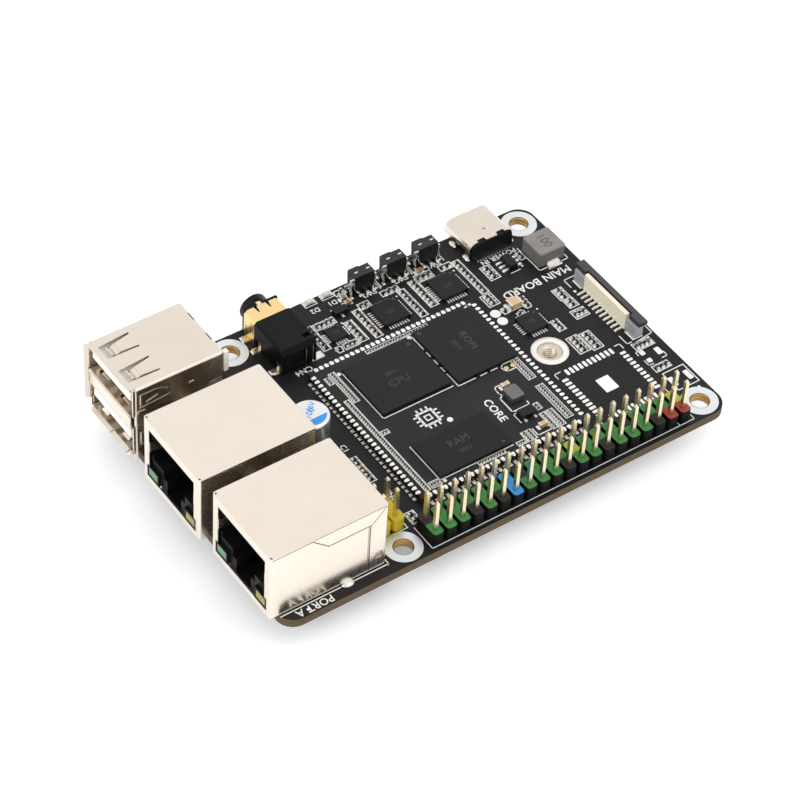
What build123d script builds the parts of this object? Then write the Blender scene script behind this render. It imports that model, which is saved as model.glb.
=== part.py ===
from build123d import *
import math
import os

os.makedirs("parts", exist_ok=True)

# Single board computer.  Origin: centre of the four mounting holes, on the
# underside of the main board.  +Z up through the component side, +X towards
# the network and USB sockets, +Y towards the 40-way pin header.  Millimetres.
# The USB-C and audio sockets and the push switches face -Y.

BOTH_SIDES = (-1, 1)

# ---------------------------------------------------------------------------
# driving dimensions and shared places
# ---------------------------------------------------------------------------
# main board
board_length = 85.0
board_width = 56.0
board_thickness = 1.6
board_corner_radius = 3.0
board_centre_x = 10.0
board_top = board_thickness
hole_spacing_x = 58.0
hole_spacing_y = 49.0
mounting_hole_radius = 1.6
mounting_pad_inner_radius = 1.7
mounting_pad_outer_radius = 3.1
pad_thickness = 0.04
mount_points = [(sx * hole_spacing_x / 2, sy * hole_spacing_y / 2)
                for sx in BOTH_SIDES for sy in BOTH_SIDES]

# card standoff
standoff_x = -15.3
standoff_y = 2.65
standoff_point = [(standoff_x, standoff_y)]
standoff_hole_radius = 2.2

# pin headers
pin_pitch = 2.54
header_columns = 20
header_centre_y = 24.5
power_header_columns = 2
power_header_x = 28.875
power_header_y = 18.875
plated_hole_radius = 0.5


def pin_columns(count, centre_x):
    """X of each column of a header."""
    return [centre_x + (i - (count - 1) / 2) * pin_pitch for i in range(count)]


def pin_points(columns, centre_y):
    """Two rows of pins, one on each side of the header's centre line."""
    return [(x, centre_y + side * pin_pitch / 2) for x in columns for side in BOTH_SIDES]


header_x = pin_columns(header_columns, 0)
header_points = pin_points(header_x, header_centre_y)
power_header_columns_x = pin_columns(power_header_columns, power_header_x)
power_points = pin_points(power_header_columns_x, power_header_y)

# network sockets: (front x, centre y) of each; setbacks run back from the front
jacks = [(54.3, 17.8), (54.8, -0.95)]
jack_depth = 21.25
jack_width = 16.0
jack_height = 13.5
jack_top = board_top + jack_height
jack_sheet = 0.25
jack_pin_setback = 18.2
jack_row_spacing = 2.54
jack_pin_pitch = 1.27
jack_outer_pin_setback = 5.6
jack_outer_pin_y = (-6.468, -4.018, 4.018, 6.468)
jack_peg_setback = 9.3
jack_peg_offset = 5.7
jack_leg_setback = 14.1
jack_leg_offset = 7.95
jack_pin_points = []
jack_peg_points = []
jack_leg_points = []
for front, centre in jacks:
    for i in range(8):
        jack_pin_points.append((front - jack_pin_setback + jack_row_spacing * (i % 2),
                                centre + (i - 3.5) * jack_pin_pitch))
    for offset in jack_outer_pin_y:
        jack_pin_points.append((front - jack_outer_pin_setback, centre + offset))
    for side in BOTH_SIDES:
        jack_peg_points.append((front - jack_peg_setback, centre + side * jack_peg_offset))
        jack_leg_points.append((front - jack_leg_setback, centre + side * jack_leg_offset))

# stacked USB-A sockets
usb_rear = 37.8
usb_front = 54.6
usb_centre_y = -18.95
usb_width = 12.95
usb_half = usb_width / 2
usb_height = 15.4
usb_top = board_top + usb_height
usb_sheet = 0.3
usb_port_pitch = 8.2
usb_port_height = 5.2
usb_port_width = 12.35
usb_lower_floor = board_top + 1.7
usb_upper_floor = usb_lower_floor + usb_port_pitch
usb_floors = (usb_lower_floor, usb_upper_floor)
usb_lower_roof = usb_lower_floor + usb_port_height
usb_contact_y = (-3.5, -1.0, 1.0, 3.5)
usb_pin_points = [(usb_rear + 2.2 + 2.6 * row, usb_centre_y + y)
                  for row in (0, 1) for y in usb_contact_y]
usb_leg_x = (40.9, 49.6)
usb_leg_points = [(x, usb_centre_y + side * (usb_half - usb_sheet / 2))
                  for x in usb_leg_x for side in BOTH_SIDES]

# USB-C socket
usbc_x = -21.0
usbc_width = 8.94
usbc_height = 3.26
usbc_front_y = -28.9
usbc_rear_y = -21.8
usbc_middle_z = board_top + usbc_height / 2
usbc_top = board_top + usbc_height
usbc_stake_y = (-26.3, -22.4)
usbc_stake_points = [(usbc_x + side * 4.35, y) for side in BOTH_SIDES for y in usbc_stake_y]

# audio socket
audio_x = 21.4
audio_width = 6.6
audio_height = 5.0
audio_bore_radius = 1.8
audio_left = audio_x - audio_width / 2    # -X side
audio_right = audio_x + audio_width / 2   # +X side
audio_top = board_top + audio_height
audio_contact_y = (-17.2, -22.6)
audio_peg_points = [(audio_x, -17.8), (audio_x, -24.6)]

# core module
core_x = 5.55
core_y = 2.9
core_size = 32.0
core_half = core_size / 2
core_thickness = 1.2
core_top = board_top + core_thickness
core_pads = 30
core_pad_pitch = 1.0
core_hole_radius = 0.28
joint_land = 0.05
core_pad_offsets = [(i - (core_pads - 1) / 2) * core_pad_pitch for i in range(core_pads)]


def y_edge_points(outset):
    """Module pads along its -Y and +Y edges, moved outwards by outset."""
    return [(core_x + along, core_y + side * (core_half + outset))
            for along in core_pad_offsets for side in BOTH_SIDES]


def x_edge_points(outset):
    """Module pads along its -X and +X edges, moved outwards by outset."""
    return [(core_x + side * (core_half + outset), core_y + along)
            for along in core_pad_offsets for side in BOTH_SIDES]


core_hole_points = y_edge_points(0) + x_edge_points(0)


# ---------------------------------------------------------------------------
# helpers; each adds to (or cuts) the part that is open when it is called
# ---------------------------------------------------------------------------
def level(z):
    """Horizontal plane at height z."""
    return Plane.XY.offset(z)


def wall_at(y):
    """Upright XZ plane at y.  Its normal, and so a positive extrusion, points to -Y."""
    return Plane.XZ.offset(-y)


def lift(outline):
    """Profile points whose heights are measured from the top of the main board."""
    return [(along, board_top + height) for along, height in outline]


def block(x0, x1, y0, y1, z0, z1, mode=Mode.ADD):
    """Axis-aligned block given by its limits, in either order."""
    with Locations(((x0 + x1) / 2, (y0 + y1) / 2, (z0 + z1) / 2)):
        Box(abs(x1 - x0), abs(y1 - y0), abs(z1 - z0), mode=mode)


def cut(*limits):
    """Axis-aligned block taken away."""
    block(*limits, mode=Mode.SUBTRACT)


def prism(plane, outline, amount, mode=Mode.ADD):
    """Closed polygon extruded from the plane."""
    with BuildSketch(plane) as face:
        with BuildLine():
            Polyline(*outline, close=True)
        make_face()
    extrude(face.sketch, amount=amount, mode=mode)


def stamp(plane, points, amount, shape, *sizes, mode=Mode.ADD, **options):
    """One sketch shape repeated at the points and extruded from the plane."""
    with BuildSketch(plane) as faces:
        with Locations(*points):
            shape(*sizes, **options)
    extrude(faces.sketch, amount=amount, mode=mode)


def seam(plane, points, width, depth, mode=Mode.SUBTRACT):
    """Narrow groove, or rib when added, along a polyline on the plane."""
    for (xa, za), (xb, zb) in zip(points, points[1:]):
        with BuildSketch(plane) as stroke:
            with Locations(((xa + xb) / 2, (za + zb) / 2)):
                Rectangle(math.hypot(xb - xa, zb - za) + width, width,
                          rotation=math.degrees(math.atan2(zb - za, xb - xa)))
        extrude(stroke.sketch, amount=depth, mode=mode)


def save(part, name):
    part.label = name
    export_step(part, "parts/" + name + ".step")


# ---------------------------------------------------------------------------
# main board, its plated rings and the card standoff
# ---------------------------------------------------------------------------
# points and radius of each set of round holes
board_holes = [
    (mount_points, mounting_hole_radius),
    (standoff_point, standoff_hole_radius),
    (header_points + power_points, plated_hole_radius),
    (jack_pin_points + usb_pin_points, 0.46),
    (jack_peg_points, 1.6),
    (jack_leg_points, 0.8),
    (usb_leg_points, 0.95),
    (audio_peg_points, 0.55),
]


def main_board():
    with BuildPart() as board:
        with BuildSketch(Plane.XY):
            with Locations((board_centre_x, 0)):
                RectangleRounded(board_length, board_width, board_corner_radius)
            for points, radius in board_holes:
                with Locations(*points):
                    Circle(radius, mode=Mode.SUBTRACT)
            with Locations(*usbc_stake_points):
                SlotOverall(1.5, 0.6, rotation=90, mode=Mode.SUBTRACT)
        extrude(amount=board_thickness)
    return board.part


def mounting_pads():
    """Rings round the mounting holes on both faces, and round the standoff on top."""
    with BuildPart() as pads:
        for z in (-pad_thickness, board_top):
            with BuildSketch(level(z)):
                with Locations(*mount_points):
                    Circle(mounting_pad_outer_radius)
                    Circle(mounting_pad_inner_radius, mode=Mode.SUBTRACT)
            extrude(amount=pad_thickness)
        with BuildSketch(level(board_top)):
            with Locations(*standoff_point):
                Circle(3.15)
                Circle(2.25, mode=Mode.SUBTRACT)
        extrude(amount=pad_thickness)
    return pads.part


def card_standoff():
    """Flanged post below the board with a neck in the board hole, bored through."""
    flange_height = 2.5
    flange_radius = 2.75
    neck_height = 1.35
    neck_radius = 2.1
    bore_radius = 1.03
    with BuildPart() as standoff:
        stamp(level(-flange_height), standoff_point, flange_height, Circle, flange_radius)
        stamp(Plane.XY, standoff_point, neck_height, Circle, neck_radius)
        stamp(level(-flange_height), standoff_point, flange_height + neck_height,
              Circle, bore_radius, mode=Mode.SUBTRACT)
    return standoff.part


# ---------------------------------------------------------------------------
# 40-way pin header and 2 x 2 power header
# ---------------------------------------------------------------------------
housing_height = 2.54
housing_web_height = 1.7
housing_web_depth = 3.6
cell_width = 1.96
power_cell_width = cell_width + 0.2
cell_depth = 5.06
cell_corner_radius = 0.6
pin_width = 0.64
pin_top = 8.5
pin_tail = 1.5
pin_point_top = 0.4
pin_point_tail = 0.3
pin_taper = 25


def pin_housing(columns, points, centre_x, centre_y, width_of_cell):
    """Rounded cell for each column, joined by a lower web, with a passage for each pin."""
    with BuildPart() as housing:
        stamp(level(board_top), [(centre_x, centre_y)], housing_web_height,
              Rectangle, len(columns) * pin_pitch - 0.6, housing_web_depth)
        stamp(level(board_top), [(x, centre_y) for x in columns], housing_height,
              RectangleRounded, width_of_cell, cell_depth, cell_corner_radius)
        stamp(level(board_top), points, housing_height,
              Rectangle, pin_width, pin_width, mode=Mode.SUBTRACT)
    return housing.part


def pin_array(points):
    """Square pins with tapered ends."""
    shaft_bottom = -pin_tail + pin_point_tail
    shaft_top = board_top + pin_top - pin_point_top
    with BuildPart() as pins:
        for z, amount, taper in (
            (shaft_bottom, shaft_top - shaft_bottom, 0),
            (shaft_top, pin_point_top, pin_taper),
            (shaft_bottom, -pin_point_tail, pin_taper),
        ):
            with BuildSketch(level(z)):
                with Locations(*points):
                    Rectangle(pin_width, pin_width)
            extrude(amount=amount, taper=taper)
    return pins.part


# ---------------------------------------------------------------------------
# network sockets: folded shields, inserts, contacts, lamp windows
# ---------------------------------------------------------------------------
shield_groove = 0.13
shield_groove_depth = 0.15
shield_flap_bottom = board_top + 10.6
insert_half = 7.5
insert_bottom = board_top + 0.1
insert_top = jack_top - 0.35
insert_frame_depth = 14.4
jack_contact_y = [(i - 3.5) * 1.02 for i in range(8)]
jack_contact_width = 0.34

# setback from the socket front and offset from its centre line, at one side
ground_spring = [(0.2, 6.5), (0.2, 6.25), (2.6, 6.05), (4.6, 6.6), (4.6, 6.85),
                 (2.6, 6.3), (0.45, 6.5)]
# setback from the socket front and height above the board
jack_contact = [(3.6, 12.82), (4.6, 12.82), (11.4, 9.4), (11.2, 9.08), (4.45, 12.48),
                (3.6, 12.48)]


def shield_side(front, rear, centre, side):
    """Grooves that outline the folded flaps, a shallow window and the board leg."""
    outer = centre + side * jack_width / 2
    wall = wall_at(outer)
    depth = side * shield_groove_depth
    seam(wall, [(front - 0.5, jack_top - 0.22), (rear + 13.8, jack_top - 0.22),
                (rear + 10.9, shield_flap_bottom), (rear + 3.1, shield_flap_bottom),
                (rear + 0.6, jack_top - 0.3)], shield_groove, depth)
    seam(wall, [(rear + 3.35, board_top + 0.5), (rear + 3.35, shield_flap_bottom)],
         shield_groove, depth)
    stamp(wall, [(rear + 1.55, board_top + 3.1)], depth,
          RectangleRounded, 1.2, 1.3, 0.25, mode=Mode.SUBTRACT)
    leg_x = front - jack_leg_setback
    block(leg_x - 0.55, leg_x + 0.55, outer - side * 0.35, outer, -1.2, board_top + 1.0)


def shield(front, centre):
    rear = front - jack_depth
    half = jack_width / 2
    stamp(level(board_top + 0.3), [((front + rear) / 2, centre)], jack_height - 0.3,
          RectangleRounded, jack_depth - 0.3, jack_width, 0.4)
    cut(rear + 0.4, front - 0.4, centre - half + 0.4, centre + half - 0.4,
        board_top, jack_top - jack_sheet)
    for side in BOTH_SIDES:
        shield_side(front, rear, centre, side)
    # rear panel overlap
    block(rear, rear + 0.16, centre - half + 0.5, centre + half - 0.5,
          board_top + 0.5, jack_top - 0.6)
    # front opening, wider at the lamps
    for half_width, height in ((6.4, 11.85), (6.95, 3.9)):
        cut(front - 0.6, front + 0.1, centre - half_width, centre + half_width,
            board_top + 1.4, board_top + height)
    # relief hole at each upper front corner, grounding spring inside each side
    for side in BOTH_SIDES:
        stamp(level(jack_top - 0.5), [(front - 0.5, centre + side * 7.55)], 0.8,
              Circle, 0.17, mode=Mode.SUBTRACT)
        prism(level(board_top + 6.9),
              [(front - setback, centre + side * offset) for setback, offset in ground_spring],
              2.2)


def network_shields():
    with BuildPart() as shields:
        for front, centre in jacks:
            shield(front, centre)
    return shields.part


def insert(front, centre):
    frame_rear = front - insert_frame_depth
    # front frame, then the magnetics block behind it
    for x0, x1 in ((frame_rear, front - 0.7), (front - jack_depth + 0.6, frame_rear)):
        block(x0, x1, centre - insert_half, centre + insert_half, insert_bottom, insert_top)
    # plug cavity, latch steps, latch channel: depth, half width, bottom, top
    for depth, half_width, bottom, top in (
        (13.6, 5.95, 5.3, 12.2),
        (9.5, 3.05, 3.7, 5.4),
        (9.5, 2.0, 1.0, 3.8),
    ):
        cut(front - depth, front, centre - half_width, centre + half_width,
            board_top + bottom, board_top + top)
    for side in BOTH_SIDES:
        # reliefs for the side springs and the lamp windows
        cut(front - 5.2, front, centre + side * 5.9, centre + side * 7.6,
            board_top + 6.3, board_top + 9.7)
        cut(front - 3.2, front, centre + side * 3.7, centre + side * 7.6,
            board_top, board_top + 3.85)
        # frame round each lamp window
        block(front - 0.95, front - 0.12, centre + side * 3.7, centre + side * 6.92,
              board_top + 1.43, board_top + 3.87)
        cut(front - 1.0, front, centre + side * 4.05, centre + side * 6.62,
            board_top + 1.78, board_top + 3.55)
    # contact slots in the roof of the cavity
    for y in jack_contact_y:
        cut(front - 11.8, front - 3.2, centre + y - 0.28, centre + y + 0.28,
            board_top + 12.1, board_top + 12.9)


def network_inserts():
    peg_bottom = -0.9
    with BuildPart() as inserts:
        for front, centre in jacks:
            insert(front, centre)
        stamp(level(peg_bottom), jack_peg_points, insert_bottom - peg_bottom, Circle, 1.5)
    return inserts.part


def network_contacts():
    """Sloping contacts in the cavities, and the solder tails."""
    tail_bottom = -1.3
    with BuildPart() as contacts:
        for front, centre in jacks:
            outline = lift([(front - setback, height) for setback, height in jack_contact])
            for y in jack_contact_y:
                prism(wall_at(centre + y + jack_contact_width / 2), outline,
                      jack_contact_width)
        stamp(level(tail_bottom), jack_pin_points, insert_bottom - tail_bottom,
              Rectangle, 0.5, 0.3)
    return contacts.part


def lamp_windows(side):
    """Lamp window in one lower corner of both socket fronts."""
    with BuildPart() as lamps:
        for front, centre in jacks:
            block(front - 3.1, front - 0.2, centre + side * 4.07, centre + side * 6.6,
                  board_top + 1.8, board_top + 3.53)
    return lamps.part


# ---------------------------------------------------------------------------
# stacked USB-A sockets
# ---------------------------------------------------------------------------
usb_tongue_thickness = 1.84
usb_tongue_tops = [floor + usb_port_height - 0.75 for floor in usb_floors]
usb_tongue_rear = usb_rear + 5.6
usb_tongue_front = usb_front - 0.3

# front lips: (x, height above the board) profile, y from, y to
usb_bottom_lip_y = (-24.6, -12.75)
usb_front_lips = [
    (((54.2, 9.9), (54.45, 9.9), (54.85, 9.7), (54.72, 9.45), (54.4, 9.6), (54.2, 9.6)),
     -24.9, -13.0),
    (((53.9, 1.7), (54.3, 1.7), (55.0, 1.5), (54.94, 1.2), (54.2, 1.4), (53.9, 1.4)),
     *usb_bottom_lip_y),
]
# top spring finger nearer +Y: its opening and its plate as (x, y)
usb_finger_opening = [(48.2, -14.42), (53.8, -14.5), (53.8, -17.5), (48.2, -17.92)]
usb_finger = [(48.1, -14.7), (51.35, -14.92), (51.35, -16.95), (48.1, -17.6)]
# turned-up finger tip as (x, height above the board)
usb_finger_tip = [(51.3, 15.38), (52.15, 15.02), (52.7, 15.5), (52.88, 15.3),
                  (52.2, 14.72), (51.3, 15.1)]
usb_finger_shifts = (0.0, -6.0)
# slit round the side spring of the upper port as (x, height above the board)
usb_side_slit = [
    (47.5, 11.6), (53.2, 11.15), (53.2, 14.1), (50.2, 14.2), (49.0, 13.9), (48.1, 13.3),
    (48.3, 13.1), (49.1, 13.6), (50.2, 13.92), (52.9, 13.82), (52.9, 11.46), (47.5, 11.9),
]
# retaining springs in the lower and upper floors as (x, height above the board)
usb_lower_spring = [(51.9, 1.6), (52.6, 1.95), (53.1, 1.98), (53.8, 1.6)]
usb_upper_spring = [(52.4, 9.85), (53.3, 9.62), (53.6, 9.4), (53.45, 9.3), (53.2, 9.45),
                    (52.4, 9.65)]


def usb_plate(front_gap, side_gap, bottom):
    """Horizontal sheet inside the shell."""
    block(usb_rear + 6.2, usb_front - front_gap,
          usb_centre_y - usb_half + side_gap, usb_centre_y + usb_half - side_gap,
          bottom, bottom + usb_sheet)


def usb_port_panels():
    """Sheets between and below the ports, the front web and the frame of each port."""
    usb_plate(0.1, 0.35, usb_upper_floor - usb_sheet)
    usb_plate(0.1, 0.35, usb_lower_roof)
    block(usb_front - usb_sheet, usb_front, usb_centre_y - usb_half + 0.35,
          usb_centre_y + usb_half - 0.35, usb_lower_roof, usb_upper_floor)
    usb_plate(0.6, 0.2, usb_upper_floor - usb_sheet)
    usb_plate(0.6, 0.2, usb_lower_roof)
    usb_plate(0.6, 0.2, usb_lower_floor - usb_sheet)
    for floor in usb_floors:
        with BuildSketch(Plane.YZ.offset(usb_front - 0.6)) as frame:
            with Locations((usb_centre_y, floor + usb_port_height / 2)):
                Rectangle(usb_port_width + 0.6, usb_port_height + 0.6)
                Rectangle(usb_port_width, usb_port_height, mode=Mode.SUBTRACT)
        extrude(frame.sketch, amount=usb_sheet)


def usb_lips():
    """Edges that stand ahead of the port frames."""
    # front edge of the roof
    roof_edge_rear = 53.0
    roof_edge_front = 54.86
    stamp(level(usb_top - usb_sheet), [((roof_edge_rear + roof_edge_front) / 2, usb_centre_y)],
          usb_sheet, RectangleRounded, roof_edge_front - roof_edge_rear, usb_width - 0.9, 0.35)
    # roll along the upper edge of the web, lip under the lower port
    for outline, y_from, y_to in usb_front_lips:
        prism(wall_at(y_to), lift(outline), y_to - y_from)
    # trimmed corners and slits of the lowest lip
    for end, side in zip(usb_bottom_lip_y, BOTH_SIDES):
        prism(level(board_top + 0.9),
              [(55.1, end + side * 0.1), (55.1, end - side * 0.65),
               (54.9, end - side * 0.25), (54.6, end + side * 0.1)],
              0.9, mode=Mode.SUBTRACT)
    for y in (-18.5, -13.55):
        cut(54.35, 55.6, y - 0.13, y + 0.13, board_top + 1.0, board_top + 1.7)
    # flared lip along the -Y side of both ports
    port_side = usb_centre_y - usb_port_width / 2
    prism(level(board_top + 3.4),
          [(53.9, port_side), (54.5, port_side), (55.3, port_side - 0.32),
           (55.2, port_side - 0.59), (54.4, port_side - 0.3), (53.9, port_side - 0.3)],
          11.5)


def usb_top_fingers():
    """Tapered contact fingers in the top, each with a turned-up tip."""
    for shift in usb_finger_shifts:
        prism(level(usb_top - 0.6), [(x, y + shift) for x, y in usb_finger_opening],
              0.8, mode=Mode.SUBTRACT)
        prism(level(usb_top - usb_sheet), [(x, y + shift) for x, y in usb_finger], usb_sheet)
        prism(wall_at(-14.92 + shift), lift(usb_finger_tip), 2.03)


def usb_rear_slots():
    """Slits along the rear edge of the top and the slot for the corner post."""
    bottom, top = usb_top - 0.5, usb_top + 0.1
    for y_from, y_to in ((-17.4, -15.8), (-22.6, -20.8)):
        cut(37.95, 38.2, y_from, y_to, bottom, top)
        cut(37.7, 38.1, y_from, y_from + 0.22, bottom, top)
    cut(usb_rear - 0.1, usb_rear + 0.35, -13.5, -12.95, board_top + 11.0, board_top + 14.8)


def usb_floor_springs():
    """Retaining springs in the two floors."""
    for y in (-16.2, -22.4):
        cut(52.8, 53.65, y - 1.25, y + 1.25, usb_upper_floor - 0.5, usb_upper_floor + 0.1)
        prism(wall_at(y + 0.9), lift(usb_lower_spring), 1.8)
        prism(wall_at(y + 1.0), lift(usb_upper_spring), 2.0)


def usb_side(side):
    """Spring slits, raised details and grooves on one side of the shell."""
    outer = usb_centre_y + side * usb_half
    slit_y = (outer - side * 0.45, outer + side * 0.1)
    for drop in (0.0, usb_port_pitch):
        prism(wall_at(max(slit_y)), lift([(x, z - drop) for x, z in usb_side_slit]),
              max(slit_y) - min(slit_y), mode=Mode.SUBTRACT)
    wall = wall_at(outer)
    # bead on the upper spring and the fold where it starts
    seam(wall, lift([(49.9, 12.55), (51.9, 12.0)]), 0.16, side * -0.12, mode=Mode.ADD)
    seam(wall, lift([(47.62, 12.0), (47.62, 13.5)]), 0.14, side * 0.12)
    # raised dimples and swaged oval
    for height in (12.0, 12.0 - usb_port_pitch):
        block(43.35, 44.25, outer, outer + side * 0.14,
              board_top + height - 0.17, board_top + height + 0.17)
    stamp(wall, [(52.75, board_top + 10.2)], side * -0.14, SlotOverall, 1.6, 0.75)
    # folded edge of the rear wall
    for height in (10.25, 9.75):
        seam(wall, lift([(38.35, height), (40.5, height)]), 0.14, side * 0.12)


def usb_shell():
    body_front = usb_front - 0.6
    with BuildPart() as shell:
        stamp(level(board_top + 0.2), [((usb_rear + body_front) / 2, usb_centre_y)],
              usb_height - 0.2, RectangleRounded, body_front - usb_rear, usb_width, 0.5)
        # rolled top edge
        fillet(shell.faces().sort_by(Axis.Z)[-1].edges(), radius=0.4)
        # hollow, open at the front and below
        cut(usb_rear + usb_sheet, usb_front + 1, usb_centre_y - usb_half + usb_sheet,
            usb_centre_y + usb_half - usb_sheet, board_top, usb_upper_floor + usb_port_height)
        usb_port_panels()
        usb_lips()
        usb_top_fingers()
        usb_rear_slots()
        usb_floor_springs()
        for side in BOTH_SIDES:
            usb_side(side)
        # board legs
        for x in usb_leg_x:
            for side in BOTH_SIDES:
                block(x - 0.7, x + 0.7, usb_centre_y + side * (usb_half - usb_sheet),
                      usb_centre_y + side * usb_half, -1.3, board_top + 1.2)
    return shell.part


def usb_insulator():
    with BuildPart() as insulator:
        block(usb_rear + 0.35, usb_rear + 6.1, usb_centre_y - 6.0, usb_centre_y + 6.0,
              board_top + 0.1, board_top + 15.0)
        # corner post behind the shell, joined through the slot in its rear wall
        block(usb_rear - 0.85, usb_rear - 0.02, -13.42, -12.55,
              board_top + 10.9, board_top + 14.9)
        block(usb_rear - 0.3, usb_rear + 0.6, -13.4, -13.05, board_top + 11.1, board_top + 14.7)
        for top in usb_tongue_tops:
            bottom = top - usb_tongue_thickness
            stamp(level(bottom), [((usb_tongue_rear + usb_tongue_front) / 2, usb_centre_y)],
                  usb_tongue_thickness, RectangleRounded,
                  usb_tongue_front - usb_tongue_rear, 11.1, 0.3)
            # chamfer under the tongue tip
            prism(wall_at(usb_centre_y + 6),
                  [(usb_tongue_front, bottom), (usb_tongue_front, top - 1.6),
                   (usb_front - 0.6, bottom)],
                  12, mode=Mode.SUBTRACT)
            # contact channels
            for y in usb_contact_y:
                cut(usb_rear + 6.0, usb_front - 0.9, usb_centre_y + y - 0.55,
                    usb_centre_y + y + 0.55, top - 1.94, top - 1.6)
    return insulator.part


def usb_contacts():
    tail_bottom = -1.4
    with BuildPart() as contacts:
        for top in usb_tongue_tops:
            for y in usb_contact_y:
                block(usb_rear + 6.15, usb_front - 1.1, usb_centre_y + y - 0.5,
                      usb_centre_y + y + 0.5, top - 1.85, top - 1.6)
        stamp(level(tail_bottom), usb_pin_points, board_top + 0.1 - tail_bottom,
              Rectangle, 0.5, 0.4)
    return contacts.part


# ---------------------------------------------------------------------------
# USB-C socket
# ---------------------------------------------------------------------------
usbc_sheet = 0.3
usbc_contact_pitch = 0.5
usbc_tongue_half = 0.35    # half thickness
# back of the moulding as (y, height above the board)
usbc_back = [(usbc_rear_y, 0.35), (usbc_rear_y, 2.9), (-21.55, 2.9), (-21.05, 1.1),
             (-21.05, 0.35)]


def usbc_shell():
    with BuildPart() as shell:
        with BuildSketch(wall_at(usbc_front_y)):
            with Locations((usbc_x, usbc_middle_z)):
                SlotOverall(usbc_width, usbc_height)
                SlotOverall(usbc_width - 2 * usbc_sheet, usbc_height - 2 * usbc_sheet,
                            mode=Mode.SUBTRACT)
        extrude(amount=usbc_front_y - usbc_rear_y)
        # two open notches in the rear edge of the top, one shallow dimple
        for side in BOTH_SIDES:
            notch_x = usbc_x + side * 1.95
            cut(notch_x - 0.75, notch_x + 0.75, usbc_rear_y - 0.5, usbc_rear_y + 0.1,
                usbc_top - 0.5, usbc_top + 0.1)
        stamp(level(usbc_top), [(usbc_x, -24.0)], -0.1, Circle, 0.28, mode=Mode.SUBTRACT)
        # rear collar strip, board stakes
        block(usbc_x - 1.1, usbc_x + 1.1, usbc_rear_y - 0.1, usbc_rear_y + 0.16,
              board_top + 2.95, usbc_top)
        for side in BOTH_SIDES:
            for y in usbc_stake_y:
                block(usbc_x + side * 4.2, usbc_x + side * 4.47, y - 0.6, y + 0.6,
                      0.2, usbc_middle_z)
    return shell.part


def usbc_insert():
    with BuildPart() as moulding:
        prism(Plane.YZ.offset(usbc_x - 4.0), lift(usbc_back), 8.0)
        stamp(wall_at(-25.0), [(usbc_x, usbc_middle_z)], -3.25,
              SlotOverall, usbc_width - 0.66, usbc_height - 0.66)
        # tongue
        block(usbc_x - 3.35, usbc_x + 3.35, -28.3, -24.9,
              usbc_middle_z - usbc_tongue_half, usbc_middle_z + usbc_tongue_half)
    return moulding.part


def usbc_contacts():
    """Contacts on both faces of the tongue, and the leads behind the socket."""
    thickness = 0.04
    contact_points = [(usbc_x + (i - 5.5) * usbc_contact_pitch, -26.9) for i in range(12)]
    lead_points = [(usbc_x + (i - 6.5) * usbc_contact_pitch, -21.05) for i in range(14)]
    with BuildPart() as contacts:
        for z in (usbc_middle_z + usbc_tongue_half,
                  usbc_middle_z - usbc_tongue_half - thickness):
            stamp(level(z), contact_points, thickness, Rectangle, 0.28, 2.4)
        stamp(level(board_top), lead_points, 0.16, Rectangle, 0.24, 1.0)
    return contacts.part


# ---------------------------------------------------------------------------
# audio socket
# ---------------------------------------------------------------------------
def audio_body():
    middle = (audio_x, board_top + audio_height / 2)
    with BuildPart() as body:
        block(audio_left, audio_right, -24.0, -15.8, board_top, audio_top)
        block(audio_left + 0.3, audio_right - 0.3, -27.3, -24.0,
              board_top + 0.05, audio_top - 0.3)
        block(audio_left + 0.1, audio_right - 0.1, -27.65, -27.15, board_top, audio_top - 0.05)
        # nose and plug bore
        stamp(wall_at(-27.6), [middle], 2.0, Circle, 2.48)
        stamp(wall_at(-29.7), [middle], -12.7, Circle, audio_bore_radius, mode=Mode.SUBTRACT)
        # shallow recess in the top
        cut(18.5, 19.75, -17.85, -16.95, audio_top - 0.6, audio_top + 0.1)
        # slot through the top of the nose for the ground spring
        stamp(level(audio_top - 1.2), [(audio_x + 0.1, -27.5)], 1.4,
              SlotOverall, 1.7, 1.1, rotation=90, mode=Mode.SUBTRACT)
        # sloped upper rear edge
        prism(Plane.YZ.offset(audio_left - 0.1),
              [(-15.7, board_top + 3.9), (-15.7, audio_top + 0.1),
               (-16.4, audio_top + 0.1), (-15.8, board_top + 3.9)],
              audio_width + 0.2, mode=Mode.SUBTRACT)
        # bevelled upper edge on the +X side
        prism(wall_at(-15.7),
              [(audio_right - 0.45, audio_top + 0.05), (audio_right + 0.05, audio_top + 0.05),
               (audio_right + 0.05, audio_top - 0.45)],
              8.4, mode=Mode.SUBTRACT)
        # window and two wire slots in the rear face: x limits, front y, height limits
        for x0, x1, y, bottom, top in (
            (19.6, 22.85, -16.35, 1.0, 3.6),
            (18.4, 18.8, -16.2, -0.05, 4.0),
            (19.7, 20.0, -16.25, -0.05, 1.1),
        ):
            cut(x0, x1, y, -15.7, board_top + bottom, board_top + top)
        # contact windows in the +X side
        for y in audio_contact_y:
            cut(audio_right - 0.5, audio_right + 0.1, y - 0.6, y + 0.6,
                board_top, board_top + 1.9)
        # locating pegs
        stamp(level(0.5), audio_peg_points, 1.15, Circle, 0.5)
    return body.part


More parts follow.
